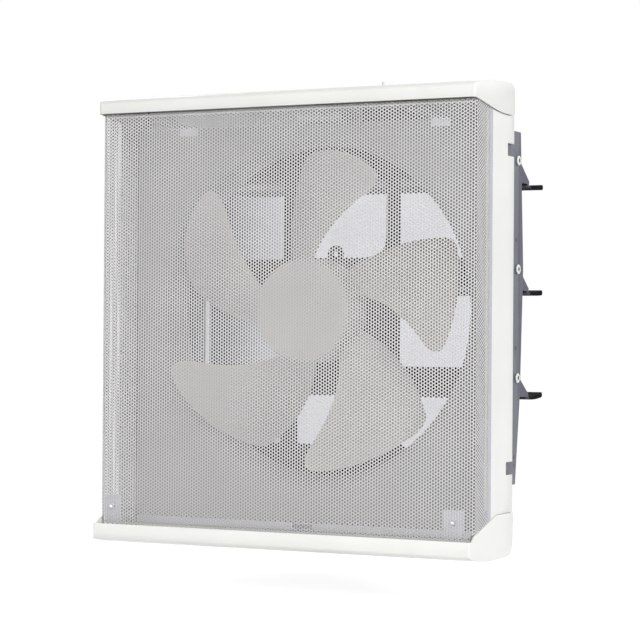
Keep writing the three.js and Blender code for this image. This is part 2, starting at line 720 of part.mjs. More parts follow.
function shutterFrame() {
  const shell = prismX(ductSide(), -DUCT_HALF_WIDTH, DUCT_HALF_WIDTH);
  const hollow = box(
    -DUCT_INNER,
    DUCT_INNER,
    -1,
    DUCT_REAR.middle + 1,
    -DUCT_BOTTOM + DUCT_SHEET,
    DUCT_TOP - DUCT_SHEET,
  );
  const duct = cut(shell, hollow);
  const footOuter = box(
    -DUCT_HALF_WIDTH - DUCT_FOOT,
    DUCT_HALF_WIDTH + DUCT_FOOT,
    GAP,
    GAP + DUCT_SHEET,
    -DUCT_BOTTOM - DUCT_FOOT,
    DUCT_TOP + DUCT_FOOT - GAP * 4,
  );
  const footInner = box(
    -DUCT_INNER,
    DUCT_INNER,
    -1,
    DUCT_SHEET + 2,
    -DUCT_BOTTOM + DUCT_SHEET,
    DUCT_TOP - DUCT_SHEET,
  );
  const trim = box(-HALF, HALF, -1, GAP, -HALF, HALF);
  const holes = [];
  for (let i = 0; i < LOUVRE_COUNT; i++) {
    holes.push(
      rodX(BUSHING.barrel + GAP, -DUCT_HALF_WIDTH - 1, DUCT_HALF_WIDTH + 1, LOUVRE_Y, louvreZ(i)),
    );
  }
  for (const [x, , z] of bracketScrews()) {
    const up = z > 0;
    const z0 = up ? DUCT_TOP - DUCT_SHEET - 1 : -DUCT_BOTTOM - 1;
    holes.push(rodZ(SCREW.radius + GAP, z0, z0 + DUCT_SHEET + 2, x, bracketScrewY()));
  }
  return cut(join(duct, cut(footOuter, footInner)), trim, ...holes);
}

// Upright at the duct's foot, against which the lowest louvre closes.
function closingStrip() {
  const z0 = -DUCT_BOTTOM + DUCT_SHEET + GAP;
  const rear = LOUVRE_Y - LOUVRE_DROP - GAP - STRIP.gap;
  const top = louvreZ(LOUVRE_COUNT - 1) - LIP.outer + STRIP.overlap;
  const x1 = DUCT_INNER - GAP;
  const upright = box(LOUVRE_LEFT, x1, rear - LOUVRE_SHEET, rear, z0, top);
  const foot = box(LOUVRE_LEFT, x1, rear - LOUVRE_SHEET, rear + STRIP.foot, z0, z0 + LOUVRE_SHEET);
  return join(upright, foot);
}

// Upright under the duct's top, indoors of the uppermost louvre's flange, let in round the bracket's tabs.
function headerStrip() {
  const z1 = DUCT_TOP - DUCT_SHEET - GAP;
  const rear = LOUVRE_Y - LOUVRE_INNER - LOUVRE_FLANGE.lean - HEADER.gap;
  const front = rear - LOUVRE_SHEET;
  const bottom = louvreZ(0) + LOUVRE_FLANGE.rise - HEADER.overlap;
  const x1 = DUCT_INNER - GAP;
  const upright = box(LOUVRE_LEFT, x1, front, rear, bottom, z1);
  const foot = box(LOUVRE_LEFT, x1, front, rear + HEADER.foot, z1 - LOUVRE_SHEET, z1);
  const reach = LEG_FOOT_WIDTH / 2 + 1;
  const tabs = [-1, 1].map((side) => {
    const x = (side * LEG_SPACING) / 2;
    return box(x - reach, x + reach, front - 1, rear + HEADER.foot + 1, z1 - BRACKET_SHEET - GAP * 4, z1 + 1);
  });
  return cut(join(upright, foot), ...tabs);
}

// Side outline of a louvre's folded sheet about its pivot: flange, bend and blade, with the pivot at (0, 0).
function louvreSection() {
  const t = LOUVRE_SHEET;
  const { rise, lean } = LOUVRE_FLANGE;
  const inner = -LOUVRE_INNER;
  const under = -LOUVRE_DROP;
  const root = under + LOUVRE_SLOPE;
  return outline([
    [inner - lean, rise],
    [inner - 1.5, root + 3],
    [inner + 1, root],
    [LOUVRE_OUTER, under],
    [LOUVRE_OUTER, under + t],
    [inner + 1.6, root + t],
    [inner - 0.4, root + 3.4],
    [inner - lean + t, rise],
  ]);
}

// End plate of a louvre: rounded over the pivot, and running down to the blade.
function louvreEar() {
  const shape = new THREE.Shape();
  const under = -LOUVRE_DROP + LAP;
  const round = EAR_RADIUS;
  shape.moveTo(-LOUVRE_INNER + 1, under + LOUVRE_SLOPE);
  shape.lineTo(LOUVRE_OUTER, under);
  shape.lineTo(LOUVRE_OUTER, under + 2.5);
  shape.lineTo(round * 0.8, round * 0.6);
  shape.absarc(0, 0, round, 0.2 * Math.PI, 0.85 * Math.PI, false);
  shape.lineTo(-LINK.armY - 5, -LINK.armZ + 4);
  return shape;
}

// Turns what is built about a louvre's pivot up to the angle at which its blade stands.
function lifted(piece, index) {
  return piece.rotate([LOUVRE_LIFT[index], 0, 0]);
}

// One louvre about its own pivot, with an ear and a stub pin at each end.
function louvre(index) {
  const t = LOUVRE_SHEET;
  const sheet = prismX(louvreSection(), LOUVRE_LEFT, LOUVRE_RIGHT);
  const rightEar = prismX(louvreEar(), LOUVRE_RIGHT - t, LOUVRE_RIGHT, 6);
  const leftEar = prismX(louvreEar(), LOUVRE_LEFT, LOUVRE_LEFT + t, 6);
  const reach = DUCT_HALF_WIDTH + BUSHING.flangeThickness - 0.2;
  const rightPin = rodX(PIVOT_RADIUS, LOUVRE_RIGHT - t, reach, 0, 0);
  const leftPin = rodX(PIVOT_RADIUS, -reach, LOUVRE_LEFT + t, 0, 0);
  const linkHole = rodX(LINK.pin + GAP, LOUVRE_LEFT - 1, LOUVRE_LEFT + t + 1, -LINK.armY, -LINK.armZ);
  return cut(join(lifted(join(sheet, rightEar, leftEar), index), rightPin, leftPin), linkHole);
}

// Soft black lip under a louvre's outer edge: a shallow gutter that ends in a bead.
function louvreLip(index) {
  const { inner, outer, thickness, sag, bead } = LIP;
  const top = -LOUVRE_DROP - GAP;
  const end = outer - bead;
  const shape = new THREE.Shape();
  shape.moveTo(inner, top);
  shape.lineTo(inner, top - thickness * 0.6);
  shape.quadraticCurveTo((inner + end) / 2, top - thickness - sag, end, top - thickness);
  shape.absarc(end, top - thickness + bead, bead, -0.5 * Math.PI, 0.5 * Math.PI, false);
  shape.quadraticCurveTo((LOUVRE_OUTER + end) / 2 + 4, top + LOUVRE_SHEET - sag, LOUVRE_OUTER + 0.6, top);
  return lifted(prismX(shape, LOUVRE_LEFT, LOUVRE_RIGHT, 5), index);
}

// White bushing in the duct's right side, with its flange outside.
function pivotBushing() {
  const { barrel, flange, flangeThickness, inside } = BUSHING;
  const bore = PIVOT_RADIUS + RUN;
  const inner = DUCT_INNER - inside;
  const outside = DUCT_HALF_WIDTH + LAP;
  return ringX([
    [bore, inner],
    [barrel, inner],
    [barrel, outside],
    [flange, outside],
    [flange, outside + flangeThickness * 0.6],
    [flange - 0.5, outside + flangeThickness],
    [bore, outside + flangeThickness],
  ]);
}

// Where the link's pins stand against their pivots, and the crank's pivot.
const CRANK_PIVOT = [ACTUATOR.shaftY, -DUCT_BOTTOM + DUCT_SHEET + ACTUATOR.shaftZ];

function linkPoints() {
  const points = [];
  for (let i = 0; i < LOUVRE_COUNT; i++) points.push([LOUVRE_Y - LINK.armY, louvreZ(i) - LINK.armZ]);
  points.push([CRANK_PIVOT[0] - LINK.armY, CRANK_PIVOT[1] - LINK.armZ]);
  return points;
}

// Flat bar through the arms of all louvres, with a foot that reaches the crank.
function linkBar() {
  const points = linkPoints();
  const half = LINK.width / 2;
  const x0 = LINK_X - LINK.thickness;
  const top = points[0];
  const foot = points[points.length - 1];
  const strip = box(x0, LINK_X, top[0] - half, top[0] + half, foot[1], top[1]);
  const toe = box(x0, LINK_X, foot[0], top[0], foot[1] - half, foot[1] + half);
  const ends = [top, foot, [top[0], foot[1]]].map(([y, z]) => rodX(half, x0, LINK_X, y, z));
  const holes = points.map(([y, z]) => rodX(LINK.pin + RUN, x0 - 1, LINK_X + 1, y, z));
  return cut(join(strip, toe, ...ends), ...holes);
}

// Riveted pin through a louvre's arm and the link, at the arm's place on its louvre.
function linkPin() {
  const right = LOUVRE_LEFT + LOUVRE_SHEET + GAP;
  const left = LINK_X - LINK.thickness - GAP;
  const shank = rodX(LINK.pin, left - LAP, right + LAP, -LINK.armY, -LINK.armZ);
  const inner = rodX(LINK.head, right, right + 1, -LINK.armY, -LINK.armZ);
  const outer = rodX(LINK.head, left - 1, left, -LINK.armY, -LINK.armZ);
  return join(shank, inner, outer);
}

// Lever on the actuator's shaft, about its own pivot, with its pin in the link's foot.
function actuatorCrank() {
  const { thickness, shaft, eye } = CRANK;
  const x0 = LINK_X + GAP;
  const x1 = x0 + thickness;
  const hub = rodX(shaft + 3, x0, x1, 0, 0);
  const end = rodX(eye, x0, x1, -LINK.armY, -LINK.armZ);
  const arm = prismX(
    outline([
      [-3, 3],
      [-LINK.armY - 2.6, -LINK.armZ + 2.6],
      [-LINK.armY + 2.6, -LINK.armZ - 2.6],
      [3, -3],
    ]),
    x0,
    x1,
  );
  const stem = rodX(shaft, x0, x1 + ACTUATOR.foot + 4, 0, 0);
  const pin = rodX(LINK.pin, LINK_X - LINK.thickness - 1, x1, -LINK.armY, -LINK.armZ);
  return join(hub, end, arm, stem, pin);
}

// Geared shutter motor on the duct's floor, in the corner outside the air stream.
function shutterActuator() {
  const { length, depth, height, corner, foot } = ACTUATOR;
  const x0 = LINK_X + GAP + CRANK.thickness + GAP;
  const x1 = x0 + length;
  const y0 = CRANK_PIVOT[0] - depth / 2;
  const z0 = -DUCT_BOTTOM + DUCT_SHEET + GAP;
  const shape = new THREE.Shape();
  shape.moveTo(y0, z0);
  shape.lineTo(y0 + depth, z0);
  shape.lineTo(y0 + depth, z0 + height - corner);
  shape.lineTo(y0 + depth - corner, z0 + height);
  shape.lineTo(y0 + corner, z0 + height);
  shape.lineTo(y0, z0 + height - corner);
  const body = prismX(shape, x0, x1);
  const flange = box(x1 - LAP, x1 + 8, y0 + 3, y0 + depth - 3, z0, z0 + foot);
  const socket = rodX(CRANK.shaft + RUN, x0 - 1, x0 + ACTUATOR.foot + 4, ...CRANK_PIVOT);
  return cut(join(body, flange), socket);
}

// ---------------------------------------------------------------- motor and its bracket

function bracketScrewY() {
  return BRACKET_Y - LEG_TAB / 2;
}

function bracketScrews() {
  const x = LEG_SPACING / 2;
  const z = 1;
  return [
    [-x, 0, z],
    [x, 0, z],
    [-x, 0, -z],
    [x, 0, -z],
  ];
}

// Half of the bracket's outline, right of the middle, as an (x, z) shape.
function bracketHalf() {
  const inner = LEG_SPACING / 2 - LEG_WIDTH / 2;
  const outer = LEG_SPACING / 2 + LEG_WIDTH / 2;
  const wide = LEG_SPACING / 2 + LEG_FOOT_WIDTH / 2;
  const narrow = LEG_SPACING / 2 - LEG_FOOT_WIDTH / 2;
  const top = DUCT_TOP - DUCT_SHEET - GAP;
  const bottom = -DUCT_BOTTOM + DUCT_SHEET + GAP;
  const shape = new THREE.Shape();
  shape.moveTo(-LAP, -BRACKET_BOTTOM);
  shape.lineTo(inner - LEG_FILLET, -BRACKET_BOTTOM);
  shape.quadraticCurveTo(inner, -BRACKET_BOTTOM, inner, -BRACKET_BOTTOM - LEG_FILLET);
  shape.lineTo(narrow, bottom);
  shape.lineTo(wide, bottom);
  shape.lineTo(outer, -BRACKET_BOTTOM - LEG_FILLET);
  shape.lineTo(outer, top);
  shape.lineTo(inner, top);
  shape.lineTo(inner, BRACKET_TOP + LEG_FILLET);
  shape.quadraticCurveTo(inner, BRACKET_TOP, inner - LEG_FILLET, BRACKET_TOP);
  shape.lineTo(-LAP, BRACKET_TOP);
  return shape;
}

// Studs of the motor's rear shell, on a circle round the axis.
function motorStuds() {
  const r = MOTOR_RADIUS * 0.72;
  return [45, 135, 225, 315].map((angle) => {
    const a = THREE.MathUtils.degToRad(angle);
    return [r * Math.cos(a), r * Math.sin(a)];
  });
}

function motorBracket() {
  const y1 = BRACKET_Y + BRACKET_SHEET;
  const right = prismY(bracketHalf(), BRACKET_Y, y1, 6);
  const lug = rodY(LUG.radius, BRACKET_Y, y1, LUG.shift, BRACKET_TOP + LUG.rise, 16);
  const top = DUCT_TOP - DUCT_SHEET - GAP;
  const bottom = -DUCT_BOTTOM + DUCT_SHEET + GAP;
  const tabs = [];
  for (const [x, , side] of bracketScrews()) {
    const half = (side > 0 ? LEG_WIDTH : LEG_FOOT_WIDTH) / 2;
    const z0 = side > 0 ? top - BRACKET_SHEET : bottom;
    const tab = box(x - half, x + half, BRACKET_Y - LEG_TAB, y1, z0, z0 + BRACKET_SHEET);
    tabs.push(cut(tab, rodZ(SCREW.radius + GAP, z0 - 1, z0 + BRACKET_SHEET + 1, x, bracketScrewY())));
  }
  const studHoles = motorStuds().map(([x, z]) => rodY(SCREW.radius + GAP, BRACKET_Y - 1, y1 + 1, x, z));
  const lugHole = rodY(LUG.radius / 3, BRACKET_Y - 1, y1 + 1, LUG.shift, BRACKET_TOP + LUG.rise);
  return cut(join(right, mirroredX(right), lug, ...tabs), ...studHoles, lugHole);
}

// Screw through the duct and a bracket tab; side is +1 at the top and -1 at the foot.
function bracketScrew(x, side) {
  const { radius, head, headHeight, length } = SCREW;
  const edge = side > 0 ? DUCT_TOP + GAP : DUCT_BOTTOM + GAP;
  const y = bracketScrewY();
  const inner = edge - length;
  const outer = edge + headHeight;
  const shank = side > 0 ? rodZ(radius, inner, edge + LAP, x, y) : rodZ(radius, -edge - LAP, -inner, x, y);
  const cap = side > 0 ? rodZ(head, edge, outer, x, y) : rodZ(head, -outer, -edge, x, y);
  return join(shank, cap);
}

// Front shell of the motor: a cup with a bearing nose.
function motorFrontShell() {
  const { radius, length } = MOTOR_NOSE;
  const t = MOTOR_SHELL;
  const rear = MOTOR_SPLIT - GAP / 2;
  const seat = BEARING.radius + GAP;
  return revolved([
    [MOTOR_RADIUS, rear],
    [MOTOR_RADIUS, MOTOR_FRONT + 8],
    [MOTOR_RADIUS - 3, MOTOR_FRONT + 3],
    [MOTOR_RADIUS - 9, MOTOR_FRONT],
    [radius, MOTOR_FRONT],
    [radius - 1, MOTOR_FRONT - length],
    [SHAFT_RADIUS + GAP, MOTOR_FRONT - length],
    [SHAFT_RADIUS + GAP, MOTOR_FRONT - length + t],
    [seat, MOTOR_FRONT - length + t],
    [seat, MOTOR_FRONT + t],
    [MOTOR_RADIUS - 9.6, MOTOR_FRONT + t],
    [MOTOR_RADIUS - 4.2, MOTOR_FRONT + 4],
    [MOTOR_RADIUS - t, MOTOR_FRONT + 8.6],
    [MOTOR_RADIUS - t, rear],
  ]);
}

// Rear shell, flat against the bracket, with four studs.
function motorRearShell() {
  const t = MOTOR_SHELL;
  const front = MOTOR_SPLIT + GAP / 2;
  const seat = BEARING.radius + GAP;
  const cup = revolved([
    [MOTOR_RADIUS, front],
    [MOTOR_RADIUS, MOTOR_REAR - 2],
    [MOTOR_RADIUS - 2, MOTOR_REAR],
    [0, MOTOR_REAR],
    [0, MOTOR_REAR - t],
    [seat, MOTOR_REAR - t],
    [seat, MOTOR_REAR - t - BEARING.width],
    [seat + t, MOTOR_REAR - t - BEARING.width],
    [seat + t, MOTOR_REAR - t],
    [MOTOR_RADIUS - 2.6, MOTOR_REAR - t],
    [MOTOR_RADIUS - t, MOTOR_REAR - 2.6],
    [MOTOR_RADIUS - t, front],
  ]);
  const reach = BRACKET_Y + BRACKET_SHEET + 0.4;
  const studs = motorStuds().map(([x, z]) => rodY(SCREW.radius, MOTOR_REAR - t, reach, x, z));
  return join(cup, ...studs);
}

function slotAngles() {
  return Array.from({ length: CORE.slots }, (_, i) => ((i + 0.5) * 2 * Math.PI) / CORE.slots);
}

// Radial block of the stator's slot pattern, grown or shrunk by a margin.
function slotBlock(angle, margin, y0, y1) {
  const inner = CORE.bore - 1 - margin;
  const outer = CORE.bore + CORE.slotDepth + margin;
  const half = CORE.slotWidth / 2 + margin;
  const block = box(inner, outer, y0, y1, -half, half);
  return block.rotate([0, -THREE.MathUtils.radToDeg(angle), 0]);
}

function statorCore() {
  const outer = MOTOR_RADIUS - MOTOR_SHELL - GAP;
  const ring = revolved([
    [CORE.bore, CORE.front],
    [outer, CORE.front],
    [outer, CORE.rear],
    [CORE.bore, CORE.rear],
  ]);
  return cut(ring, ...slotAngles().map((a) => slotBlock(a, 0, CORE.front - 1, CORE.rear + 1)));
}

// Winding: end turns in front of and behind the core, joined through its slots.
function statorWinding() {
  const inner = CORE.bore + COIL.inset;
  const outer = CORE.bore + CORE.slotDepth - COIL.inset;
  const ring = (y0, y1) =>
    revolved(
      [
        [inner, y0],
        [inner + 1.5, y0 - 1],
        [outer - 1.5, y0 - 1],
        [outer, y0],
        [outer, y1],
        [inner, y1],
      ],
      16,
    );
  const front = ring(CORE.front - COIL.reach, CORE.front - GAP);
  const rear = ring(CORE.rear + GAP + 1, CORE.rear + COIL.reach);
  const bars = slotAngles().map((angle) => {
    const half = CORE.slotWidth / 2 - COIL.inset;
    const bar = box(inner, outer, CORE.front - 1, CORE.rear + 2, -half, half);
    return bar.rotate([0, -THREE.MathUtils.radToDeg(angle), 0]);
  });
  return join(front, rear, ...bars);
}

function rotorCore() {
  const outer = CORE.bore - 0.6;
  const bore = SHAFT_RADIUS + GAP;
  return revolved([
    [bore, CORE.front],
    [outer, CORE.front],
    [outer, CORE.rear],
    [bore, CORE.rear],
  ]);
}

function bearing(y0) {
  const { radius, width } = BEARING;
  const bore = SHAFT_RADIUS + GAP;
  return revolved(
    [
      [bore, y0],
      [radius - 0.6, y0],
      [radius, y0 + 0.6],
      [radius, y0 + width - 0.6],
      [radius - 0.6, y0 + width],
      [bore, y0 + width],
    ],
    16,
  );
}

function motorShaft() {
  const front = HUB_FRONT + GAP;
  const rear = MOTOR_REAR - MOTOR_SHELL - GAP;
  const shaft = rodY(SHAFT_RADIUS, front, rear, 0, 0, 20);
  const hole = rodX(DRIVE_PIN.radius + GAP / 2, -HUB_BOSS, HUB_BOSS, PIN_Y, 0);
  return cut(shaft, hole);
}

function drivePin() {
  const { radius, length } = DRIVE_PIN;
  return rodX(radius, -length / 2, length / 2, PIN_Y, 0);
}

// ---------------------------------------------------------------- propeller

// Value of the parabola through an edge's three stations; column 1 is the angle and 2 the depth.
function alongEdge(edge, radius, column) {
  const share = radius / FAN_RADIUS;
  return edge.reduce((sum, station, i) => {
    const others = edge.filter((_, j) => j !== i);
    const weight = others.reduce((w, other) => (w * (share - other[0])) / (station[0] - other[0]), 1);
    return sum + weight * station[column];
  }, 0);
}

// How far a rounded corner pulls in the tip at a share s of the corner's width from the blade's edge.
function cornerDrop(size, s) {
  const t = 1 - THREE.MathUtils.clamp(s, 0, 1);
  return size * (1 - Math.sqrt(1 - t * t));
}

// A point of the blade's middle surface: u runs from the leading edge (0) to the trailing edge (1),
// v from the root (0) to the tip (1).
function bladePoint(u, v) {
  const root = HUB_RADIUS - HUB_WALL;
  const corner = FAN_RADIUS * THREE.MathUtils.lerp(LEADING_EDGE[2][0], TRAILING_EDGE[2][0], u);
  const crown = (FAN_RADIUS - corner) * (1 - Math.abs(2 * u - 1) ** TIP_BULGE);
  const rounding =
    cornerDrop(TIP_CORNER.leading, u / TIP_CORNER.leadingWidth) +
    cornerDrop(TIP_CORNER.trailing, (1 - u) / TIP_CORNER.trailingWidth);
  const radius = THREE.MathUtils.lerp(root, corner + crown - rounding, v);
  const leading = alongEdge(LEADING_EDGE, radius, 1);
  const trailing = alongEdge(TRAILING_EDGE, radius, 1);
  const angle = THREE.MathUtils.degToRad(FIRST_BLADE + THREE.MathUtils.lerp(leading, trailing, u));
  const front = alongEdge(LEADING_EDGE, radius, 2);
  const rear = alongEdge(TRAILING_EDGE, radius, 2);
  const y = THREE.MathUtils.lerp(front, rear, u) - BLADE_CAMBER * 4 * u * (1 - u) * v;
  return new THREE.Vector3(radius * Math.cos(angle), y, radius * Math.sin(angle));
}

// Unit normal of the middle surface, pointing indoors.
function bladeNormal(u, v) {
  const step = 1e-3;
  const across = bladePoint(u + step, v).sub(bladePoint(u - step, v));
  const along = bladePoint(u, v + step).sub(bladePoint(u, v - step));
  return along.cross(across).normalize();
}

// One blade as a closed surface: front and rear skins of a grid, stitched along the rim.
function blade() {
  const rows = 6;
  const columns = 8;
  const positions = [];
  const index = [];
  for (const side of [1, -1]) {
    for (let j = 0; j <= rows; j++) {
      for (let i = 0; i <= columns; i++) {
        const u = 0.5 - 0.4995 * Math.cos((i / columns) * Math.PI);
        const v = j / rows;
        const rim = Math.max(Math.abs(2 * u - 1), v > 0.9 ? (v - 0.9) * 10 : 0);
        const half = (BLADE_THICKNESS / 2) * (1 - 0.55 * rim * rim);
        const point = bladePoint(u, v).addScaledVector(bladeNormal(u, v), side * half);
        positions.push(point.x, point.y, point.z);
      }
    }
  }
  const stride = columns + 1;
  const rear = stride * (rows + 1);
  for (let j = 0; j < rows; j++) {
    for (let i = 0; i < columns; i++) {
      const a = j * stride + i;
      const b = a + 1;
      const c = a + stride;
      const d = c + 1;
      index.push(a, c, b, b, c, d);
      index.push(rear + a, rear + b, rear + c, rear + b, rear + d, rear + c);
    }
  }
  const rim = [];
  for (let i = 0; i < columns; i++) rim.push(i);
  for (let j = 0; j < rows; j++) rim.push(j * stride + columns);
  for (let i = columns; i > 0; i--) rim.push(rows * stride + i);
  for (let j = rows; j > 0; j--) rim.push(j * stride);
  for (let k = 0; k < rim.length; k++) {
    const a = rim[k];
    const b = rim[(k + 1) % rim.length];
    index.push(a, b, rear + b, a, rear + b, rear + a);
  }
  const geometry = new THREE.BufferGeometry();
  geometry.setAttribute("position", new THREE.BufferAttribute(new Float32Array(positions), 3));
  geometry.setIndex(index);
  return solid(geometry);
}

// Hub of the propeller: barrel, web and boss, with the slot for the drive pin in the boss's rear face.
function propellerHub() {
  const inner = HUB_RADIUS - HUB_WALL;
  const webFront = HUB_FRONT + 5;
  const webRear = webFront + HUB_WALL;
  return revolved(
    [
      [HUB_RADIUS, HUB_FRONT],
      [HUB_RADIUS, HUB_REAR],
      [inner, HUB_REAR],
      [inner, webRear],
      [HUB_BOSS, webRear],
      [HUB_BOSS, BOSS_REAR],
      [HUB_BORE, BOSS_REAR],
      [HUB_BORE, webFront - 1],
      [HUB_BOSS, webFront - 1],
      [HUB_BOSS + 1, webFront],
      [inner, webFront],
      [inner, HUB_FRONT],
    ],
    40,
  );
}

function propeller() {
  const first = blade();
  const blades = Array.from({ length: BLADES }, (_, i) => first.rotate([0, (-360 / BLADES) * i, 0]));
  const half = DRIVE_PIN.radius + GAP;
  const slot = box(-HUB_BOSS - 1, HUB_BOSS + 1, PIN_Y - half, BOSS_REAR + 1, -half, half);
  const clear = revolved([
    [0, HUB_FRONT - 30],
    [HUB_RADIUS - HUB_WALL, HUB_FRONT - 30],
    [HUB_RADIUS - HUB_WALL, HUB_REAR + 30],
    [0, HUB_REAR + 30],
  ], 40);
  const trimmed = blades.map((b) => cut(b, clear));
  return cut(join(propellerHub(), ...trimmed), slot);
}

// Large round nut that covers the hub and holds the propeller on the shaft.
function spinner() {
  const { thickness, edge, boss, bossLength } = SPINNER;
  const rear = HUB_FRONT - GAP;
  const front = rear - thickness;
  return revolved(
    [
      [0, front],
      [HUB_RADIUS - edge, front],
      [HUB_RADIUS - edge * 0.3, front + edge * 0.3],
      [HUB_RADIUS, front + edge],
      [HUB_RADIUS, rear],
      [HUB_RADIUS - HUB_WALL, rear],
      [HUB_RADIUS - HUB_WALL, rear - thickness + HUB_WALL],
      [boss, rear - thickness + HUB_WALL],
      [boss, HUB_FRONT + 5 - 1 - GAP],
      [HUB_BORE, HUB_FRONT + 5 - 1 - GAP],
      [HUB_BORE, HUB_FRONT],
      [0, HUB_FRONT],
    ],
    32,
  );
}

// ---------------------------------------------------------------- wiring under the cap

function wireBox() {
  const { x, width, depth, height } = WIRE_BOX;
  const z0 = PAN_TOP + GAP;
  const y0 = PAN_FRONT + 1;
  const body = box(x - width / 2, x + width / 2, y0, y0 + depth, z0, z0 + height);
  const { mouth, mouthDepth } = WIRE_BOX;
  const slot = box(x - mouth / 2, x + mouth / 2, y0 - 1, y0 + mouthDepth, z0 + SHEET, z0 + height - SHEET);
  return cut(body, slot);
}

function capacitor() {
  const { x, width, depth, height } = CAPACITOR;
  const z0 = PAN_TOP + GAP;
  const y0 = PAN_FRONT + 1;
  const end = rodX(height / 2, x - width / 2, x + width / 2, y0 + height / 2, z0 + height / 2, 20);
  const far = rodX(height / 2, x - width / 2, x + width / 2, y0 + depth - height / 2, z0 + height / 2, 20);
  const middle = box(x - width / 2, x + width / 2, y0 + height / 2, y0 + depth - height / 2, z0, z0 + height);
  return join(end, far, middle);
}

// ---------------------------------------------------------------- assembly

const paint = (color, roughness, metalness) =>
  new THREE.MeshStandardMaterial({ color, roughness, metalness });
const white = paint(0xeceee8, 0.45, 0);
const bare = paint(0xc9c9cb, 0.4, 0.6);
const panGrey = paint(0xd6d2c8, 0.5, 0);
const slate = paint(0x6f7080, 0.45, 0.3);
const blackRubber = paint(0x15151a, 0.6, 0);
const bone = paint(0xd2cbbf, 0.5, 0);
const whitePlastic = paint(0xf4f4f2, 0.4, 0);
const steel = paint(0xa9abb0, 0.3, 0.8);
const darkSteel = paint(0x55565c, 0.5, 0.5);
const copper = paint(0xb4703c, 0.4, 0.7);
const blackPlastic = paint(0x222226, 0.5, 0);

function piece(parent, name, body, material) {
  const mesh = new THREE.Mesh(geometryOf(body), material);
  mesh.name = name;
  parent.add(mesh);
  return mesh;
}

function placed(parent, name, body, material, y, z) {
  const mesh = piece(parent, name, body, material);
  mesh.position.set(0, y, z);
  return mesh;
}

function addBody(root) {
  const body = new THREE.Group();
  piece(body, "top_cap", topCap(), white);
  piece(body, "cord_bushing", cordBushing(), whitePlastic);
  piece(body, "side_panel_right", sidePanel(), white);
  piece(body, "side_panel_left", mirroredX(sidePanel()), white);
  piece(body, "orifice_pan", orificePan(), panGrey);
  piece(body, "drip_sill", dripSill(), white);
  piece(body, "mounting_flange", mountingFlange(), slate);
  piece(body, "filter_clip_left", filterClip(-1), steel);
  piece(body, "filter_clip_right", filterClip(1), steel);
  piece(body, "wire_box", wireBox(), blackPlastic);
  piece(body, "capacitor", capacitor(), whitePlastic);
  root.add(body);
}

function addFilter(root) {
  const filter = new THREE.Group();
  piece(filter, "filter_screen", filterScreen(), bare);
  const shifted = (body) => moved(body, CORNER_PLATE.shift, 0, 0);
  piece(filter, "corner_plate_right", shifted(cornerPlate()), steel);
  piece(filter, "corner_plate_left", shifted(mirroredX(cornerPlate())), steel);
  piece(filter, "corner_rivet_right", shifted(cornerRivet()), steel);
  piece(filter, "corner_rivet_left", shifted(mirroredX(cornerRivet())), steel);
  root.add(filter);
}

function addShutter(root) {
  const shutter = new THREE.Group();
  piece(shutter, "shutter_frame", shutterFrame(), slate);
  piece(shutter, "closing_strip", closingStrip(), slate);
  piece(shutter, "header_strip", headerStrip(), slate);
  const bushing = pivotBushing();
  const pin = linkPin();
  for (let i = 0; i < LOUVRE_COUNT; i++) {
    const z = louvreZ(i);
    const number = i + 1;
    placed(shutter, "louvre_" + number, louvre(i), slate, LOUVRE_Y, z);
    placed(shutter, "louvre_lip_" + number, louvreLip(i), blackRubber, LOUVRE_Y, z);
    placed(shutter, "link_pin_" + number, pin, steel, LOUVRE_Y, z);
    placed(shutter, "pivot_bushing_right_" + number, bushing, whitePlastic, LOUVRE_Y, z);
    placed(shutter, "pivot_bushing_left_" + number, mirroredX(bushing), whitePlastic, LOUVRE_Y, z);
  }
  piece(shutter, "link_bar", linkBar(), steel);
  placed(shutter, "actuator_crank", actuatorCrank(), blackPlastic, ...CRANK_PIVOT);
  piece(shutter, "shutter_actuator", shutterActuator(), blackPlastic);
  root.add(shutter);
}

function addMotor(root) {
  const motor = new THREE.Group();
  piece(motor, "motor_bracket", motorBracket(), slate);
  piece(motor, "motor_front_shell", motorFrontShell(), darkSteel);
  piece(motor, "motor_rear_shell", motorRearShell(), darkSteel);
  piece(motor, "stator_core", statorCore(), steel);
  piece(motor, "stator_winding", statorWinding(), copper);
  piece(motor, "bearing_front", bearing(MOTOR_FRONT - MOTOR_NOSE.length + MOTOR_SHELL + GAP), steel);
  piece(motor, "bearing_rear", bearing(MOTOR_REAR - MOTOR_SHELL - BEARING.width - GAP), steel);
  bracketScrews().forEach(([x, , side], i) => {
    piece(motor, "bracket_screw_" + (i + 1), bracketScrew(x, side), steel);
  });
  root.add(motor);
}

function addFan(root) {
  const fan = new THREE.Group();
  piece(fan, "propeller", propeller(), bone);
  piece(fan, "spinner", spinner(), bone);
  piece(fan, "motor_shaft", motorShaft(), steel);
  piece(fan, "drive_pin", drivePin(), steel);
  piece(fan, "rotor_core", rotorCore(), steel);
  root.add(fan);
}

const exhaustFan = new THREE.Group();
addBody(exhaustFan);
addFilter(exhaustFan);
piece(exhaustFan, "oil_tray", oilTray(), white);
addShutter(exhaustFan);
addMotor(exhaustFan);
addFan(exhaustFan);

export default exhaustFan;
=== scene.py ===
# Looks of the wall-frame exhaust fan: perforated filter, painted body, moulded propeller and louvres.
# Metres, in the frame of the solids: +X right, +Y outdoors, +Z up, origin on the fan's axis at the wall.

import math
import bmesh
import bpy
from mathutils import Matrix, Vector


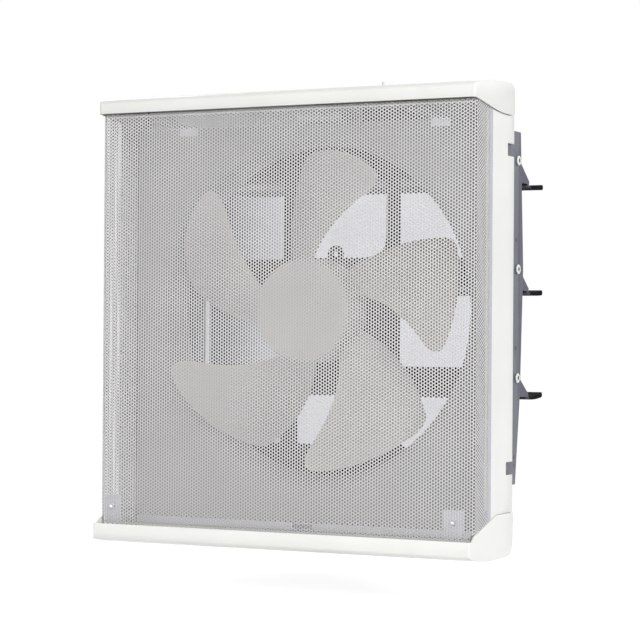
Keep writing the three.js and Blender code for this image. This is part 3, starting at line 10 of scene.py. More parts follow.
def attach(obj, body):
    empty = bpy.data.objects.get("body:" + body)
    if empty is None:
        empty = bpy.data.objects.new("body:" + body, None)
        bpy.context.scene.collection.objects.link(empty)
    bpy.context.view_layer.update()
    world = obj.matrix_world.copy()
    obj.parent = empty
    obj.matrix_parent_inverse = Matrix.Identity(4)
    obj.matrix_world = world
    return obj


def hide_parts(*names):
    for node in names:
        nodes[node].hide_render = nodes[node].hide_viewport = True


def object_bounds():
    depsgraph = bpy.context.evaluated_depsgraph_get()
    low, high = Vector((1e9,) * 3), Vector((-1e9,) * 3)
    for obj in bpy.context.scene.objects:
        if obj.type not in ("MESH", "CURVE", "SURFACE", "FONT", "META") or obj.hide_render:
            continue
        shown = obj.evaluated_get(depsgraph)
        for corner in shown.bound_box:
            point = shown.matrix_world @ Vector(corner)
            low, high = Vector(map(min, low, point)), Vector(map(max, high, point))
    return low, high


MM = 0.001

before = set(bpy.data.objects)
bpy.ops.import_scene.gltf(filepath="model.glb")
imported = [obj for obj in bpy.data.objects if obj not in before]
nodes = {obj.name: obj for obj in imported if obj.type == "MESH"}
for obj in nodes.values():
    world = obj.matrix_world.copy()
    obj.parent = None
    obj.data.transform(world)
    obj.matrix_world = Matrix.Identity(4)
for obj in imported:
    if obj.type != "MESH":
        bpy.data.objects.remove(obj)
cad_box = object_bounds()
scene = bpy.context.scene


# ---------------------------------------------------------------- camera

# The photograph's view: turned 26.35 degrees to the right of the front, a little below level.
FOCAL_PIXELS = 2116
IMAGE_PIXELS = 640
SENSOR = 36
EYE = Vector((0.74025, -1.5025, -0.0196))
YAW, PITCH, ROLL = math.radians(26.35), math.radians(-0.43), math.radians(0.40)


def camera_axes():
    """The directions that are ahead, to the right and up in the photograph."""
    ahead = Vector((-math.sin(YAW) * math.cos(PITCH), math.cos(YAW) * math.cos(PITCH), -math.sin(PITCH)))
    level = Vector((math.cos(YAW), math.sin(YAW), 0))
    upright = level.cross(ahead)
    right = math.cos(ROLL) * level + math.sin(ROLL) * upright
    up = math.cos(ROLL) * upright - math.sin(ROLL) * level
    return ahead, right, up


AHEAD, RIGHT, UP = camera_axes()


def add_camera():
    data = bpy.data.cameras.new("camera")
    data.sensor_width = SENSOR
    data.lens = FOCAL_PIXELS / IMAGE_PIXELS * SENSOR
    camera = bpy.data.objects.new("camera", data)
    scene.collection.objects.link(camera)
    turn = Matrix((RIGHT, UP, -AHEAD)).transposed().to_4x4()
    camera.matrix_world = Matrix.Translation(EYE) @ turn
    data.clip_start = 0.05
    data.clip_end = 50
    scene.camera = camera


add_camera()


# ---------------------------------------------------------------- shader maths

class Wire:
    """A node's output socket, with arithmetic that adds Math nodes."""

    def __init__(self, graph, socket):
        self.graph = graph
        self.socket = socket

    def math(self, operation, *values):
        return self.graph.node("ShaderNodeMath", {"operation": operation}, [self, *values])

    def __add__(self, other):
        return self.math("ADD", other)

    __radd__ = __add__

    def __sub__(self, other):
        return self.math("SUBTRACT", other)

    def __rsub__(self, other):
        return self.graph.node("ShaderNodeMath", {"operation": "SUBTRACT"}, [other, self])

    def __truediv__(self, other):
        return self.math("DIVIDE", other)

    def __mul__(self, other):
        return self.math("MULTIPLY", other)

    __rmul__ = __mul__

    def clamp(self):
        return self.graph.node("ShaderNodeMath", {"operation": "ADD", "use_clamp": True}, [self, 0.0])


class Finish:
    """The node tree of one material, or of the world."""

    def __init__(self, name, kind="materials"):
        self.block = getattr(bpy.data, kind).new(name)
        self.block.use_nodes = True
        self.tree = self.block.node_tree
        self.tree.nodes.clear()

    def node(self, kind, settings=None, values=(), output=0):
        made = self.tree.nodes.new(kind)
        for key, value in (settings or {}).items():
            if key == "stops":
                self.set_stops(made.color_ramp, value)
            else:
                setattr(made, key, value)
        pairs = values.items() if isinstance(values, dict) else enumerate(values)
        for key, value in pairs:
            if isinstance(value, Wire):
                self.tree.links.new(value.socket, made.inputs[key])
            else:
                made.inputs[key].default_value = value
        return Wire(self, made.outputs[output]) if len(made.outputs) else None

    def set_stops(self, ramp, stops):
        while len(ramp.elements) < len(stops):
            ramp.elements.new(1.0)
        for element, (place, level) in zip(ramp.elements, stops):
            element.position = place
            element.color = (level, level, level, 1)

    def place(self):
        return self.node("ShaderNodeTexCoord", output=3)

    def noise(self, scale, detail=2.0, roughness=0.5, stretch=(1, 1, 1)):
        spot = self.node("ShaderNodeMapping", {}, {"Vector": self.place(), "Scale": stretch})
        return self.node(
            "ShaderNodeTexNoise", {},
            {"Vector": spot, "Scale": scale, "Detail": detail, "Roughness": roughness},
        )

    def ramp(self, value, *stops):
        return self.node("ShaderNodeValToRGB", {"stops": stops}, [value])

    def coordinate(self, axis):
        return self.node("ShaderNodeSeparateXYZ", {}, [self.place()], output="XYZ".index(axis))

    def fade(self, coordinate, start, end, reach=100):
        """0 short of one place on an axis and 1 beyond the other, both within reach; mm."""
        return self.ramp(coordinate * (1 / (reach * MM)), (start / reach, 0.0), (end / reach, 1.0))

    def mix(self, mask, low, high):
        made = self.tree.nodes.new("ShaderNodeMix")
        made.data_type = "RGBA"
        for name, value in (("Factor", mask), ("A", low), ("B", high)):
            kind = "VALUE" if name == "Factor" else "RGBA"
            socket = next(s for s in made.inputs if s.name == name and s.type == kind)
            if isinstance(value, Wire):
                self.tree.links.new(value.socket, socket)
            else:
                socket.default_value = value if name == "Factor" else (*value, 1)[:4]
        return Wire(self, next(s for s in made.outputs if s.type == "RGBA"))

    def bump(self, height, strength, distance):
        return self.node(
            "ShaderNodeBump", {}, {"Height": height, "Strength": strength, "Distance": distance},
        )

    def surface(self, **inputs):
        shader = self.node("ShaderNodeBsdfPrincipled", {}, {
            key.replace("_", " "): value for key, value in inputs.items()
        })
        self.node("ShaderNodeOutputMaterial", {}, {"Surface": shader})
        return self.block

    def ray(self, kind):
        return self.node("ShaderNodeLightPath", output=kind)


MOTTLE = 14  # clouds of tone in a metre of paint
PEEL = 900  # and bumps of orange peel
GRAIN_DEPTH = 0.02 * MM


def cloudy(f):
    """A slow, cloudy change from 0 to 1."""
    return f.ramp(f.noise(MOTTLE, 3, 0.6), (0.35, 0.0), (0.72, 1.0))


def uneven_gloss(f, roughness):
    return f.ramp(f.noise(MOTTLE * 3, 2), (0.3, roughness - 0.04), (0.7, roughness + 0.06))


def orange_peel(f, grain=PEEL):
    return f.noise(grain, 2)


def painted(name, color, worn, roughness, metallic=0.0, grain=PEEL, sheen=0.5):
    """Sprayed paint: a faint cloudy tone, fine orange peel and slightly uneven gloss."""
    f = Finish(name)
    return f.surface(
        Base_Color=f.mix(cloudy(f), color, worn),
        Roughness=uneven_gloss(f, roughness),
        Metallic=metallic,
        Specular_IOR_Level=sheen,
        Normal=f.bump(orange_peel(f, grain), 0.25, GRAIN_DEPTH),
    )


def bare_metal(name, color, worn, roughness, stretch=(1, 60, 60), metallic=0.9):
    """Rolled or brushed sheet: fine lines one way, and a soft tarnish."""
    f = Finish(name)
    lines = f.noise(60, 3, 0.7, stretch)
    stain = f.noise(22, 3, 0.6)
    tone = f.ramp(stain, (0.35, 0.0), (0.75, 1.0))
    gloss = f.ramp(lines, (0.3, roughness - 0.07), (0.7, roughness + 0.08))
    return f.surface(
        Base_Color=f.mix(tone, color, worn),
        Roughness=gloss,
        Metallic=metallic,
        Normal=f.bump(lines, 0.15, GRAIN_DEPTH),
    )


def moulded(name, color, worn, roughness, sheen=0.5, coat=0.0):
    """Moulded plastic or rubber: even tone with a fine matt grain."""
    f = Finish(name)
    tone = f.ramp(f.noise(18, 2), (0.3, 0.0), (0.75, 1.0))
    gloss = f.ramp(f.noise(70, 2), (0.3, roughness - 0.05), (0.7, roughness + 0.05))
    return f.surface(
        Base_Color=f.mix(tone, color, worn),
        Roughness=gloss,
        Specular_IOR_Level=sheen,
        Normal=f.bump(f.noise(1600, 2), 0.2, GRAIN_DEPTH),
        Coat_Weight=coat,
    )


WIRE_LAY = 6200  # radians of the turns' ripple in a metre


def wound_copper(name):
    """Enamelled wire laid in turns round the axis."""
    f = Finish(name)
    x, y, z = f.coordinate("X"), f.coordinate("Y"), f.coordinate("Z")
    radius = (x * x + z * z).math("SQRT")
    turns = (radius * WIRE_LAY).math("SINE") * 0.5 + (y * WIRE_LAY).math("SINE") * 0.5
    tone = f.ramp(turns, (0.2, 0.0), (0.8, 1.0))
    return f.surface(
        Base_Color=f.mix(tone, (0.26, 0.10, 0.045), (0.62, 0.30, 0.14)),
        Roughness=0.38,
        Metallic=0.7,
        Normal=f.bump(turns, 0.5, 0.0003),
    )


SHADED_PAINT = (0.068, 0.064, 0.098)
REAR_HEM = (57.5, 60)  # the duct's colour changes between these depths
SUNK_DARK_SPOTS = ((53.4, 56.7), (53.2, -28.1), (50.6, -113.6), (51.5, -120.0))
MARK_RADIUS = 1.8


def sunk_dark_spot(f, y, z):
    """1 within a small round mark on the duct's sides, 0 outside it; mm."""
    across, up = f.coordinate("Y") - y * MM, f.coordinate("Z") - z * MM
    return (across * across + up * up).math("LESS_THAN", (MARK_RADIUS * MM) ** 2)


def outdoor_duct(name):
    """The duct's paint: paler ahead of its rear hem, with four small near-black round spots on each
    side, sunk by a bump.
    """
    f = Finish(name)
    tone = f.mix(f.fade(f.coordinate("Y"), *REAR_HEM), (0.104, 0.106, 0.142), (0.055, 0.051, 0.086))
    marks = sum(sunk_dark_spot(f, y, z) for y, z in SUNK_DARK_SPOTS)
    return f.surface(
        Base_Color=f.mix(marks, tone, (0.02, 0.02, 0.03)),
        Roughness=f.ramp(f.noise(40, 2), (0.3, 0.38), (0.7, 0.48)),
        Metallic=0.2,
        Normal=f.bump(orange_peel(f) - marks * 20, 0.25, GRAIN_DEPTH),
    )


def louvre_paint_and_shade(name):
    """Near black inside the duct as painted shade, where the louvres lie in shadow, and a darker copy of
    the duct's colour, also painted shade, where they reach outdoors.
    """
    f = Finish(name)
    # painted shade: 0 inside the duct, where the louvres are painted near black for their shadow, 1
    # outdoors
    out = f.fade(f.coordinate("Y"), 57, 62)
    return f.surface(
        Base_Color=f.mix(out, (0.006, 0.006, 0.009), SHADED_PAINT),
        Roughness=f.ramp(f.noise(40, 2), (0.3, 0.46), (0.7, 0.56)),
        Specular_IOR_Level=out * 0.3 + 0.15,
        Normal=f.bump(orange_peel(f), 0.25, GRAIN_DEPTH),
    )


def lip_rubber(name):
    """Black rubber outdoors, darker than rubber's own black as painted shade, tucked under a painted hem
    nearer the duct.
    """
    f = Finish(name)
    # 0 on the painted hem, 1 on the rubber, whose near-black colour is partly painted shade under the
    # louvres
    rubber = f.fade(f.coordinate("Y"), 89.3, 89.7)
    return f.surface(
        Base_Color=f.mix(rubber, (0.080, 0.077, 0.112), (0.004, 0.004, 0.005)),
        Roughness=f.ramp(f.noise(70, 2), (0.3, 0.65), (0.7, 0.75)),
        Specular_IOR_Level=0.03,
        Normal=f.bump(f.noise(1600, 2), 0.2, GRAIN_DEPTH),
    )


def pan_paint(name):
    """Warm grey paint, with the duct's colour on the rim, which the side panels' notches show."""
    f = Finish(name)
    rim = f.fade(f.coordinate("X").math("ABSOLUTE"), 156.0, 156.6, reach=200)
    tone = f.mix(cloudy(f), (0.36, 0.348, 0.34), (0.33, 0.318, 0.31))
    return f.surface(
        Base_Color=f.mix(rim, tone, (0.10, 0.102, 0.135)),
        Roughness=uneven_gloss(f, 0.5),
        Normal=f.bump(orange_peel(f), 0.25, GRAIN_DEPTH),
    )


FINISHES = {
    "enamel": painted("white_enamel", (0.845, 0.848, 0.825), (0.80, 0.80, 0.775), 0.36),
    "filter": painted("filter_sheet", (0.635, 0.625, 0.628), (0.595, 0.59, 0.593), 0.42, 0.1, 1400),
    # plain rear edges of the filter's sides: the sheet's colour darkened to lavender grey as painted
    # shade
    "edge": painted("shaded_filter_edge", (0.50, 0.50, 0.57), (0.46, 0.46, 0.53), 0.42, 0.1, 1400),
    "pan": pan_paint("pan_enamel"),
    "duct": painted("duct_enamel", (0.118, 0.120, 0.160), (0.102, 0.104, 0.142), 0.42, 0.2),
    # duct sides: darker behind the rear hem, with small near-black round spots
    "banded_duct": outdoor_duct("duct_sides"),
    # louvres: near black inside the duct and a darker copy of the duct's paint outdoors, both painted
    # shade
    "louvre": louvre_paint_and_shade("louvre_enamel_and_shade"),
    # near black: the motor bracket's black paint, and painted shade on it and on the header and closing
    # strips, which lie in the duct's shadow
    "dark": painted("black_enamel_and_shade", (0.006, 0.006, 0.009), (0.004, 0.004, 0.006), 0.55, sheen=0.15),
    "motor": painted("motor_enamel", (0.012, 0.012, 0.015), (0.008, 0.008, 0.010), 0.5, sheen=0.2),
    # louvre lips: black rubber, partly painted shade
    "rubber": lip_rubber("black_rubber_and_shade"),
    "blade": moulded("fan_plastic", (0.61, 0.57, 0.517), (0.57, 0.533, 0.482), 0.44),
    "nylon": moulded("white_nylon", (0.84, 0.84, 0.83), (0.78, 0.78, 0.76), 0.34, coat=0.2),
    "black": moulded("black_plastic", (0.015, 0.015, 0.017), (0.025, 0.025, 0.027), 0.48),
    "steel": bare_metal("bright_steel", (0.62, 0.62, 0.64), (0.50, 0.50, 0.53), 0.32),
    "plate": bare_metal("zinc_plate", (0.78, 0.78, 0.84), (0.70, 0.70, 0.76), 0.38, metallic=0.35),
    "laminate": bare_metal("core_laminate", (0.30, 0.30, 0.32), (0.22, 0.22, 0.24), 0.45, (20, 400, 20)),
    "copper": wound_copper("enamelled_copper"),
}


def coat(piece, finish):
    piece.data.materials.clear()
    piece.data.materials.append(FINISHES[finish])


# ---------------------------------------------------------------- shaping helpers

def new_piece(name, bm, finish, body, replaced=(), smooth=True):
    """The bmesh as an object that rides on a body and stands for its nodes."""
    bmesh.ops.remove_doubles(bm, verts=bm.verts, dist=1e-6)
    bmesh.ops.recalc_face_normals(bm, faces=bm.faces)
    mesh = bpy.data.meshes.new(name)
    bm.to_mesh(mesh)
    bm.free()
    mesh.polygons.foreach_set("use_smooth", [smooth] * len(mesh.polygons))
    piece = bpy.data.objects.new(name, mesh)
    scene.collection.objects.link(piece)
    coat(piece, finish)
    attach(piece, body)
    if replaced:
        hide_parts(*replaced)
    return piece


def crease(piece, degrees=32):
    """Keeps edges sharper than an angle crisp under smooth shading."""
    split = piece.modifiers.new("crease", "EDGE_SPLIT")
    split.split_angle = math.radians(degrees)
    return piece


def rounded_edges(piece, width):
    bevel = piece.modifiers.new("round", "BEVEL")
    bevel.width = width
    bevel.segments = 2
    bevel.limit_method = "ANGLE"
    bevel.angle_limit = math.radians(35)
    bevel.use_clamp_overlap = True
    bevel.harden_normals = False
    return piece


def walled(piece, thickness):
    wall = piece.modifiers.new("wall", "SOLIDIFY")
    wall.thickness = thickness
    wall.offset = -1
    return piece


def lathe(profile, steps=64, axis=(0, 1, 0), centre=(0, 0, 0)):
    """Solid turned about an axis through centre, from a closed loop of (radius, along) points in mm."""
    bm = bmesh.new()
    ring = [bm.verts.new((r * MM, a * MM, 0)) for r, a in profile]
    for a, b in zip(ring, ring[1:] + ring[:1]):
        bm.edges.new((a, b))
    bmesh.ops.spin(
        bm, geom=bm.verts[:] + bm.edges[:], cent=(0, 0, 0), axis=(0, 1, 0),
        angle=2 * math.pi, steps=steps, use_merge=True, use_duplicate=False,
    )
    bmesh.ops.remove_doubles(bm, verts=bm.verts, dist=1e-6)
    turn = Vector((0, 1, 0)).rotation_difference(Vector(axis)).to_matrix().to_4x4()
    bmesh.ops.transform(bm, matrix=Matrix.Translation(Vector(centre)) @ turn, verts=bm.verts)
    return bm


def joined(*parts):
    """Several bmeshes in one."""
    whole = parts[0]
    for part in parts[1:]:
        mesh = bpy.data.meshes.new("part")
        part.to_mesh(mesh)
        part.free()
        whole.from_mesh(mesh)
        bpy.data.meshes.remove(mesh)
    return whole


def strip(lowest, highest):
    """A straight bar between two corners in mm, from a cube operator."""
    bm = bmesh.new()
    low, high = Vector(lowest) * MM, Vector(highest) * MM
    bmesh.ops.create_cube(bm, size=1)
    bmesh.ops.scale(bm, vec=high - low, verts=bm.verts)
    bmesh.ops.translate(bm, vec=(high + low) / 2, verts=bm.verts)
    return bm


# ---------------------------------------------------------------- perforated filter

FACE_Y = -75.4
FACE_HALF = 159.5
FILTER_TOP, FILTER_FOOT, SIDE_FOOT = 154.0, -169.1, -164.2
FOLD = 3.0
SIDE_DEPTH = 31.6
PLAIN_EDGE = 5.0
TOP_FALL = 4.2  # the sides' upper edges fall this much from front to rear
TRAY_RISE, TRAY_RUN = 12.4, 44  # and the lower edges rise with the tray's
LIP_HALF, LIP_DEPTH = 157, 13
LIP_HEIGHTS = ((151.4, 152.4), (-168.5, -167.7))
HOLE_PITCH = 2.5
HOLE_RADIUS = 0.95  # corner radius of a six-sided hole as wide as a 1.7 mm round one
COLUMN_PITCH = HOLE_PITCH * math.sqrt(3) / 2
FILTER_SHEET = 0.25
PANEL_COLUMNS = 29
PANELS = 6

FLAT = FACE_HALF - FOLD
ARC = FOLD * math.pi / 2
UNROLLED = FLAT + ARC + SIDE_DEPTH - FOLD


def folded(u):
    """Place (x, y) in mm on the folded sheet of a distance u from its middle, measured along it."""
    side = math.copysign(1, u)
    run = abs(u)
    if run <= FLAT:
        return u, FACE_Y
    if run <= FLAT + ARC:
        turn = (run - FLAT) / FOLD
        return side * (FLAT + FOLD * math.sin(turn)), FACE_Y + FOLD * (1 - math.cos(turn))
    return side * FACE_HALF, FACE_Y + FOLD + run - FLAT - ARC


def repeated(bm, step, count):
    """The whole bmesh and count - 1 copies of it, each a step further."""
    source = bm.verts[:] + bm.edges[:] + bm.faces[:]
    for i in range(1, count):
        copy = bmesh.ops.duplicate(bm, geom=source)["geom"]
        verts = [g for g in copy if isinstance(g, bmesh.types.BMVert)]
        bmesh.ops.translate(bm, vec=Vector(step) * i, verts=verts)


def hole_cell(bm):
    """Six-sided cell of the sheet round one hole, in the (x, z) plane."""
    rims = [
        bmesh.ops.create_circle(bm, segments=6, radius=radius * MM)["verts"]
        for radius in (HOLE_PITCH / math.sqrt(3), HOLE_RADIUS)
    ]
    edges = list({edge for rim in rims for vert in rim for edge in vert.link_edges})
    bmesh.ops.bridge_loops(bm, edges=edges)
    stand = Matrix.Rotation(math.pi / 2, 4, "X") @ Matrix.Rotation(math.pi / 6, 4, "Z")
    bmesh.ops.transform(bm, matrix=stand, verts=bm.verts)


def sheared_off(bm, point, normal, faces=None):
    """Cuts away what lies on the side of a plane to which its normal points; mm."""
    faces = bm.faces[:] if faces is None else faces
    edges = {edge for face in faces for edge in face.edges}
    verts = {vert for face in faces for vert in face.verts}
    bmesh.ops.bisect_plane(
        bm, geom=[*verts, *edges, *faces], dist=1e-7,
        plane_co=Vector(point) * MM, plane_no=normal, clear_outer=True,
    )


def trim_sides(bm):
    """Shears the folded sides to the slopes of the cap's and the tray's edges."""
    sheared_off(bm, (0, FACE_Y, FILTER_TOP), (0, TOP_FALL, SIDE_DEPTH))
    folded_back = [face for face in bm.faces if face.calc_center_median().y > (FACE_Y + 0.1) * MM]
    sheared_off(bm, (0, FACE_Y, SIDE_FOOT), (0, TRAY_RISE, -TRAY_RUN), folded_back)


def filter_panel(index):
    """One run of columns of the perforated sheet."""
    bm = bmesh.new()
    hole_cell(bm)
    rows = math.ceil((FILTER_TOP - FILTER_FOOT) / HOLE_PITCH) + 2
    repeated(bm, (0, 0, HOLE_PITCH * MM), rows)
    second = bmesh.ops.duplicate(bm, geom=bm.verts[:] + bm.edges[:] + bm.faces[:])["geom"]
    shifted = [g for g in second if isinstance(g, bmesh.types.BMVert)]
    bmesh.ops.translate(bm, vec=(COLUMN_PITCH * MM, 0, -HOLE_PITCH / 2 * MM), verts=shifted)
    repeated(bm, (2 * COLUMN_PITCH * MM, 0, 0), (PANEL_COLUMNS + 1) // 2)
    start = (index * (PANEL_COLUMNS + 1) - PANELS * (PANEL_COLUMNS + 1) / 2 + 0.5) * COLUMN_PITCH
    bmesh.ops.translate(bm, vec=(start * MM, 0, (FILTER_FOOT - 1) * MM), verts=bm.verts)
    bmesh.ops.remove_doubles(bm, verts=bm.verts, dist=2e-5)
    for side in (-1, 1):
        sheared_off(bm, (side * (UNROLLED - PLAIN_EDGE), 0, 0), (side, 0, 0))
    sheared_off(bm, (0, 0, FILTER_TOP), (0, 0, 1))
    sheared_off(bm, (0, 0, FILTER_FOOT), (0, 0, -1))
    for vert in bm.verts:
        x, y = folded(vert.co.x / MM)
        vert.co.x, vert.co.y = x * MM, y * MM
    folds = index in (0, PANELS - 1)
    if folds:
        trim_sides(bm)
    for face in bm.faces:
        outward = Vector((face.calc_center_median().x if folds else 0, -0.3, 0))
        if face.normal.dot(outward) < 0:
            face.normal_flip()
    return bm


def add_filter():
    for index in range(PANELS):
        bm = filter_panel(index)
        name = "filter_mesh_%d" % (index + 1)
        mesh = bpy.data.meshes.new(name)
        bm.to_mesh(mesh)
        bm.free()
        piece = bpy.data.objects.new(name, mesh)
        scene.collection.objects.link(piece)
        coat(piece, "filter")
        walled(piece, FILTER_SHEET * MM)
        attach(piece, "filter")
        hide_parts("filter_screen")


def add_filter_edges():
    """Plain rear edges of the filter's sides, darkened to lavender grey as painted shade, and its turned
    lips.
    """
    rear = FACE_Y + SIDE_DEPTH
    for side, word in ((-1, "left"), (1, "right")):
        inner, outer = sorted((side * (FACE_HALF - FILTER_SHEET), side * FACE_HALF))
        bm = strip((inner, rear - PLAIN_EDGE, FILTER_FOOT), (outer, rear, FILTER_TOP))
        trim_sides(bm)
        bmesh.ops.holes_fill(bm, edges=bm.edges)
        piece = new_piece("filter_edge_" + word, bm, "edge", "filter", smooth=False)
        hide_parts("filter_screen")
    front, back = FACE_Y + FILTER_SHEET, FACE_Y + LIP_DEPTH
    lips = joined(*(
        strip((-LIP_HALF, front, low), (LIP_HALF, back, high)) for low, high in LIP_HEIGHTS
    ))
    piece = new_piece("filter_lips", lips, "filter", "filter", smooth=False)
    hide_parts("filter_screen")


add_filter()
add_filter_edges()


# ---------------------------------------------------------------- propeller

FAN_RADIUS = 126.4
HUB_RADIUS, HUB_FRONT, HUB_REAR, HUB_WALL = 40.5, -36.0, -7.0, 2.4
FIRST_BLADE = 6
BLADES = 5
BLADE_THICKNESS = 2.0
BLADE_CAMBER = 10
TIP_BULGE = 2.6
LEADING_CORNER, LEADING_WIDTH = 16, 0.15
TRAILING_CORNER, TRAILING_WIDTH = 6, 0.07
LEADING_EDGE = ((0.332, 10, -21.1), (0.633, -9.2, -29.4), (0.957, -24.3, -45))
TRAILING_EDGE = ((0.332, 43.3, -8.6), (0.633, 32.8, 3.3), (0.972, 20.7, 5.3))


def along_edge(edge, radius, column):
    """Parabola through the three stations of a blade's edge."""
    share = radius / FAN_RADIUS
    total = 0
    for i, station in enumerate(edge):
        weight = 1
        for j, other in enumerate(edge):
            if i != j:
                weight *= (share - other[0]) / (station[0] - other[0])
        total += weight * station[column]
    return total


def lerp(a, b, t):
    return a + (b - a) * t


def corner_drop(size, share):
    """How far a rounded corner of the tip falls in mm, share being the way across the corner."""
    left = 1 - min(max(share, 0), 1)
    return size * (1 - math.sqrt(1 - left * left))


def blade_point(u, v):
    """u from the leading edge (0) to the trailing edge (1), v from the root (0) to the tip (1)."""
    corner = FAN_RADIUS * lerp(LEADING_EDGE[2][0], TRAILING_EDGE[2][0], u)
    crown = (FAN_RADIUS - corner) * (1 - abs(2 * u - 1) ** TIP_BULGE)
    crown -= corner_drop(LEADING_CORNER, u / LEADING_WIDTH)
    crown -= corner_drop(TRAILING_CORNER, (1 - u) / TRAILING_WIDTH)
    radius = lerp(HUB_RADIUS - HUB_WALL, corner + crown, v)
    angle = lerp(along_edge(LEADING_EDGE, radius, 1), along_edge(TRAILING_EDGE, radius, 1), u)
    y = lerp(along_edge(LEADING_EDGE, radius, 2), along_edge(TRAILING_EDGE, radius, 2), u)
    y -= BLADE_CAMBER * 4 * u * (1 - u) * v
    turn = math.radians(FIRST_BLADE + angle)
    return Vector((radius * math.cos(turn), y, radius * math.sin(turn))) * MM


def blades():
    """Five blades, each a bent sheet with a wall."""
    bm = bmesh.new()
    grid = bmesh.ops.create_grid(bm, x_segments=22, y_segments=20, size=0.5)["verts"]
    for vert in grid:
        u = 0.5 - 0.5 * math.cos((vert.co.x + 0.5) * math.pi)
        v = 1 - (0.5 - vert.co.y) ** 1.35
        vert.co = blade_point(u, v)
    bmesh.ops.recalc_face_normals(bm, faces=bm.faces)
    bmesh.ops.solidify(bm, geom=bm.faces[:], thickness=BLADE_THICKNESS * MM)
    rim = [edge for edge in bm.edges if edge.calc_face_angle(0) > math.radians(50)]
    bmesh.ops.bevel(
        bm, geom=rim, offset=0.7 * MM, segments=2, profile=0.5, affect="EDGES", material=-1,
        clamp_overlap=True,
    )
    source = bm.verts[:] + bm.edges[:] + bm.faces[:]
    for i in range(1, BLADES):
        copy = bmesh.ops.duplicate(bm, geom=source)["geom"]
        verts = [g for g in copy if isinstance(g, bmesh.types.BMVert)]
        turn = Matrix.Rotation(-2 * math.pi * i / BLADES, 3, "Y")
        bmesh.ops.rotate(bm, cent=(0, 0, 0), matrix=turn, verts=verts)
    return bm


def hub():
    inner = HUB_RADIUS - HUB_WALL
    web = HUB_FRONT + 5
    return lathe([
        (HUB_RADIUS, HUB_FRONT + 0.3), (HUB_RADIUS, HUB_REAR - 1), (HUB_RADIUS - 0.6, HUB_REAR),
        (inner, HUB_REAR), (inner, web + HUB_WALL), (12, web + HUB_WALL), (12, -11),
        (4.3, -11), (4.3, web - 1), (12, web - 1), (inner, web), (inner, HUB_FRONT),
        (HUB_RADIUS - 0.3, HUB_FRONT),
    ], 96)


def spinner():
    """Large round nut over the hub, with a shallow dished middle."""
    rear = HUB_FRONT - 0.3
    front = rear - 4.2
    r = HUB_RADIUS
    return lathe([
        (0.01, front + 0.9), (9, front + 0.9), (10.5, front + 0.5), (20, front + 0.2), (30, front),
        (r - 3.4, front + 0.05), (r - 1.6, front + 0.5), (r - 0.5, front + 1.5), (r, front + 3),
        (r, rear), (r - 2.4, rear), (r - 2.4, rear - 1.8), (8, rear - 1.8), (8, rear + 4.3),
        (0.01, rear + 4.3),
    ], 96)


def add_fan():
    wheel = joined(blades(), hub())
    crease(new_piece("propeller_blades", wheel, "blade", "rotor", ("propeller",)), 40)
    crease(new_piece("hub_cover", spinner(), "blade", "rotor", ("spinner",)), 40)


add_fan()


# ---------------------------------------------------------------- small turned pieces

LOUVRE_Y = 56.6
LOUVRE_HEIGHTS = (119.3, 33.8, -51.7)


def add_bushings():
    """White bushings with the pivot's dark end in the middle, outside the duct's sides."""
    for i, z in enumerate(LOUVRE_HEIGHTS, 1):
        for side, word in ((1, "right"), (-1, "left")):
            centre = (0, LOUVRE_Y * MM, z * MM)
            ring = lathe([
                (1.8, 139.4), (2.8, 139.4), (2.8, 141.1), (3.6, 141.1), (3.85, 141.3), (3.85, 141.8),
                (3.6, 142.15), (2.7, 142.4), (1.95, 142.4), (1.8, 142.25),
            ], 32, (side, 0, 0), centre)
            name = "pivot_bushing_%s_%d" % (word, i)
            crease(new_piece("bush_%s_%d" % (word, i), ring, "nylon", "frame", (name,)))


def add_rivets():
    """Bright rivets that hold the corner plates, their heads in front of the filter."""
    for word in ("right", "left"):
        name = "corner_rivet_" + word
        box = [Vector(corner) for corner in nodes[name].bound_box]
        middle = (box[0] + box[6]) / 2
        rear = max(corner.y for corner in box) / MM
        shank = lathe([
            (0.01, -76.7), (1.0, -76.6), (1.7, -76.2), (2.0, -75.5), (1.2, -75.45),
            (1.2, rear), (0.01, rear),
        ], 24, centre=(middle.x, 0, middle.z))
        crease(new_piece("rivet_" + word, shank, "steel", "filter", (name,)))


add_bushings()
add_rivets()


# ---------------------------------------------------------------- finishes of the solids that stay

SOLID_FINISHES = {
    "enamel": ("top_cap", "side_panel_right", "side_panel_left", "oil_tray"),
    "plate": ("drip_sill", "corner_plate_right", "corner_plate_left"),
    "pan": ("orifice_pan",),
    "duct": ("mounting_flange",),
    "banded_duct": ("shutter_frame",),
    # louvres: painted shade inside the duct and outdoors
    "louvre": ("louvre_1", "louvre_2", "louvre_3"),
    # near black: black paint and painted shade on these parts in the duct's shadow
    "dark": ("header_strip", "closing_strip", "motor_bracket"),
    "rubber": ("louvre_lip_1", "louvre_lip_2", "louvre_lip_3"),
    "nylon": ("cord_bushing", "capacitor"),
    "black": ("wire_box", "shutter_actuator", "actuator_crank"),
    "motor": ("motor_front_shell", "motor_rear_shell"),
    "copper": ("stator_winding",),
    "laminate": ("stator_core", "rotor_core"),
    "steel": (
        "filter_clip_left", "filter_clip_right",
        "link_pin_1", "link_pin_2", "link_pin_3", "link_bar", "bearing_front", "bearing_rear",
        "motor_shaft", "drive_pin", "bracket_screw_1", "bracket_screw_2", "bracket_screw_3",
        "bracket_screw_4",
    ),
}
ROUNDED = {
    "top_cap": 0.5, "oil_tray": 0.5, "side_panel_right": 0.35, "side_panel_left": 0.35,
    "shutter_frame": 0.3,
}


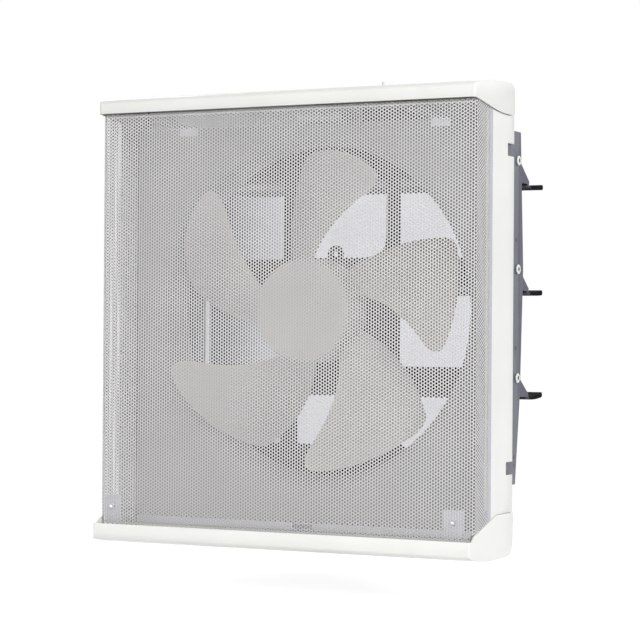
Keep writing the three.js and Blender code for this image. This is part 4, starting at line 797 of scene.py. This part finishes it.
def finish_solids():
    for finish, names in SOLID_FINISHES.items():
        for name in names:
            solid = nodes[name]
            coat(solid, finish)
            mesh = solid.data
            mesh.polygons.foreach_set("use_smooth", [True] * len(mesh.polygons))
            merge = solid.modifiers.new("merge", "WELD")
            merge.merge_threshold = 1e-5
            if name in ROUNDED:
                rounded_edges(solid, ROUNDED[name] * MM)
            crease(solid, 34)


finish_solids()


# ---------------------------------------------------------------- floor, backdrop and light

def pure_white(name):
    """White to the camera and in reflections, and a pale matt surface to the light."""
    f = Finish(name)
    seen = f.ray("Is Camera Ray") + f.ray("Is Glossy Ray")
    matt = f.node("ShaderNodeBsdfDiffuse", {}, {"Color": (0.93, 0.93, 0.93, 1)})
    glow = f.node("ShaderNodeEmission", {}, {"Color": (1, 1, 1, 1), "Strength": 0.55})
    both = f.node("ShaderNodeAddShader", {}, [matt, glow])
    shown = f.node("ShaderNodeMixShader", {}, [seen.clamp(), matt, both])
    f.node("ShaderNodeOutputMaterial", {}, {"Surface": shown})
    return f.block


FLOOR_HALF = 0.7
FLOOR_DROP = 0.041  # the fan hangs on a wall, and its tray slides 40 mm down
AMBIENT = 0.28

# The shade seen through the fan, as slopes across and up from the camera's axis.
SHADE_CENTRE = (0.004, 0.006)
SHADE_HALF = (0.070, 0.080)
SHADE_DEEP = (0.05, 0.048, 0.065)
SHADE_PALE = (0.635, 0.645, 0.70)


def add_floor():
    bm = bmesh.new()
    bmesh.ops.create_grid(bm, x_segments=2, y_segments=2, size=FLOOR_HALF)
    bmesh.ops.translate(bm, vec=(0, 0, cad_box[0].z - FLOOR_DROP), verts=bm.verts)
    mesh = bpy.data.meshes.new("floor")
    bm.to_mesh(mesh)
    bm.free()
    floor = bpy.data.objects.new("floor", mesh)
    scene.collection.objects.link(floor)
    mesh.materials.append(pure_white("floor_white"))


def along(f, direction, axis):
    return f.node("ShaderNodeVectorMath", {"operation": "DOT_PRODUCT"}, [direction, axis], output=1)


def shaded_backdrop(f):
    """White, but for the fan's own soft shade on the backdrop, which shows only through its openings."""
    direction = f.node("ShaderNodeTexCoord", output=0)
    ahead = along(f, direction, AHEAD)
    across = along(f, direction, RIGHT) / ahead
    rise = along(f, direction, UP) / ahead
    x = (across - SHADE_CENTRE[0]) / SHADE_HALF[0]
    z = (rise - SHADE_CENTRE[1]) / SHADE_HALF[1]
    reach = (x * x + z * z).math("SQRT") + (ahead.math("LESS_THAN", 0) * 9)
    outside = f.ramp(reach * 0.5, (0.5, 0.0), (0.57, 1.0))
    lit = f.ramp(x * 0.5 + 0.5, (0.15, 0.0), (0.45, 1.0))
    shade = f.mix(lit, SHADE_DEEP, SHADE_PALE)
    return f.mix(outside, shade, (1, 1, 1))


def add_world():
    """An even pale light from all round; white to the camera, in mirrors and through what is clear, but
    for the fan's painted shade, which camera and transmission rays see through its openings.
    """
    f = Finish("studio", "worlds")
    seen = f.ray("Is Camera Ray").math("MAXIMUM", f.ray("Is Transmission Ray"))
    strength = seen.math("MAXIMUM", f.ray("Is Glossy Ray")).math("MAXIMUM", AMBIENT)
    color = f.mix(seen, (1, 1, 1), shaded_backdrop(f))
    light = f.node("ShaderNodeBackground", {}, {"Color": color, "Strength": strength})
    f.node("ShaderNodeOutputWorld", {}, {"Surface": light})
    scene.world = f.block


LAMPS = {  # place, width and power of each, all aimed at the fan's middle
    "key": ((2.4, -1.7, 1.3), 1.6, 64),
    "fill": ((-0.9, -2.6, 0.6), 1.8, 24),
    "rear": ((1.8, 1.6, 1.2), 1.4, 15),
    "back": ((-2.3, 1.7, 1.5), 1.8, 26),
}


def add_lamp(name, place, size, power):
    data = bpy.data.lights.new(name, "AREA")
    data.shape = "DISK"
    data.size = size
    data.energy = power
    lamp = bpy.data.objects.new(name, data)
    scene.collection.objects.link(lamp)
    lamp.location = place
    lamp.rotation_euler = (-Vector(place)).to_track_quat("-Z", "Y").to_euler()


add_floor()
add_world()
for lamp_name, (place, size, power) in LAMPS.items():
    add_lamp(lamp_name, place, size, power)
scene.view_settings.view_transform = "Standard"
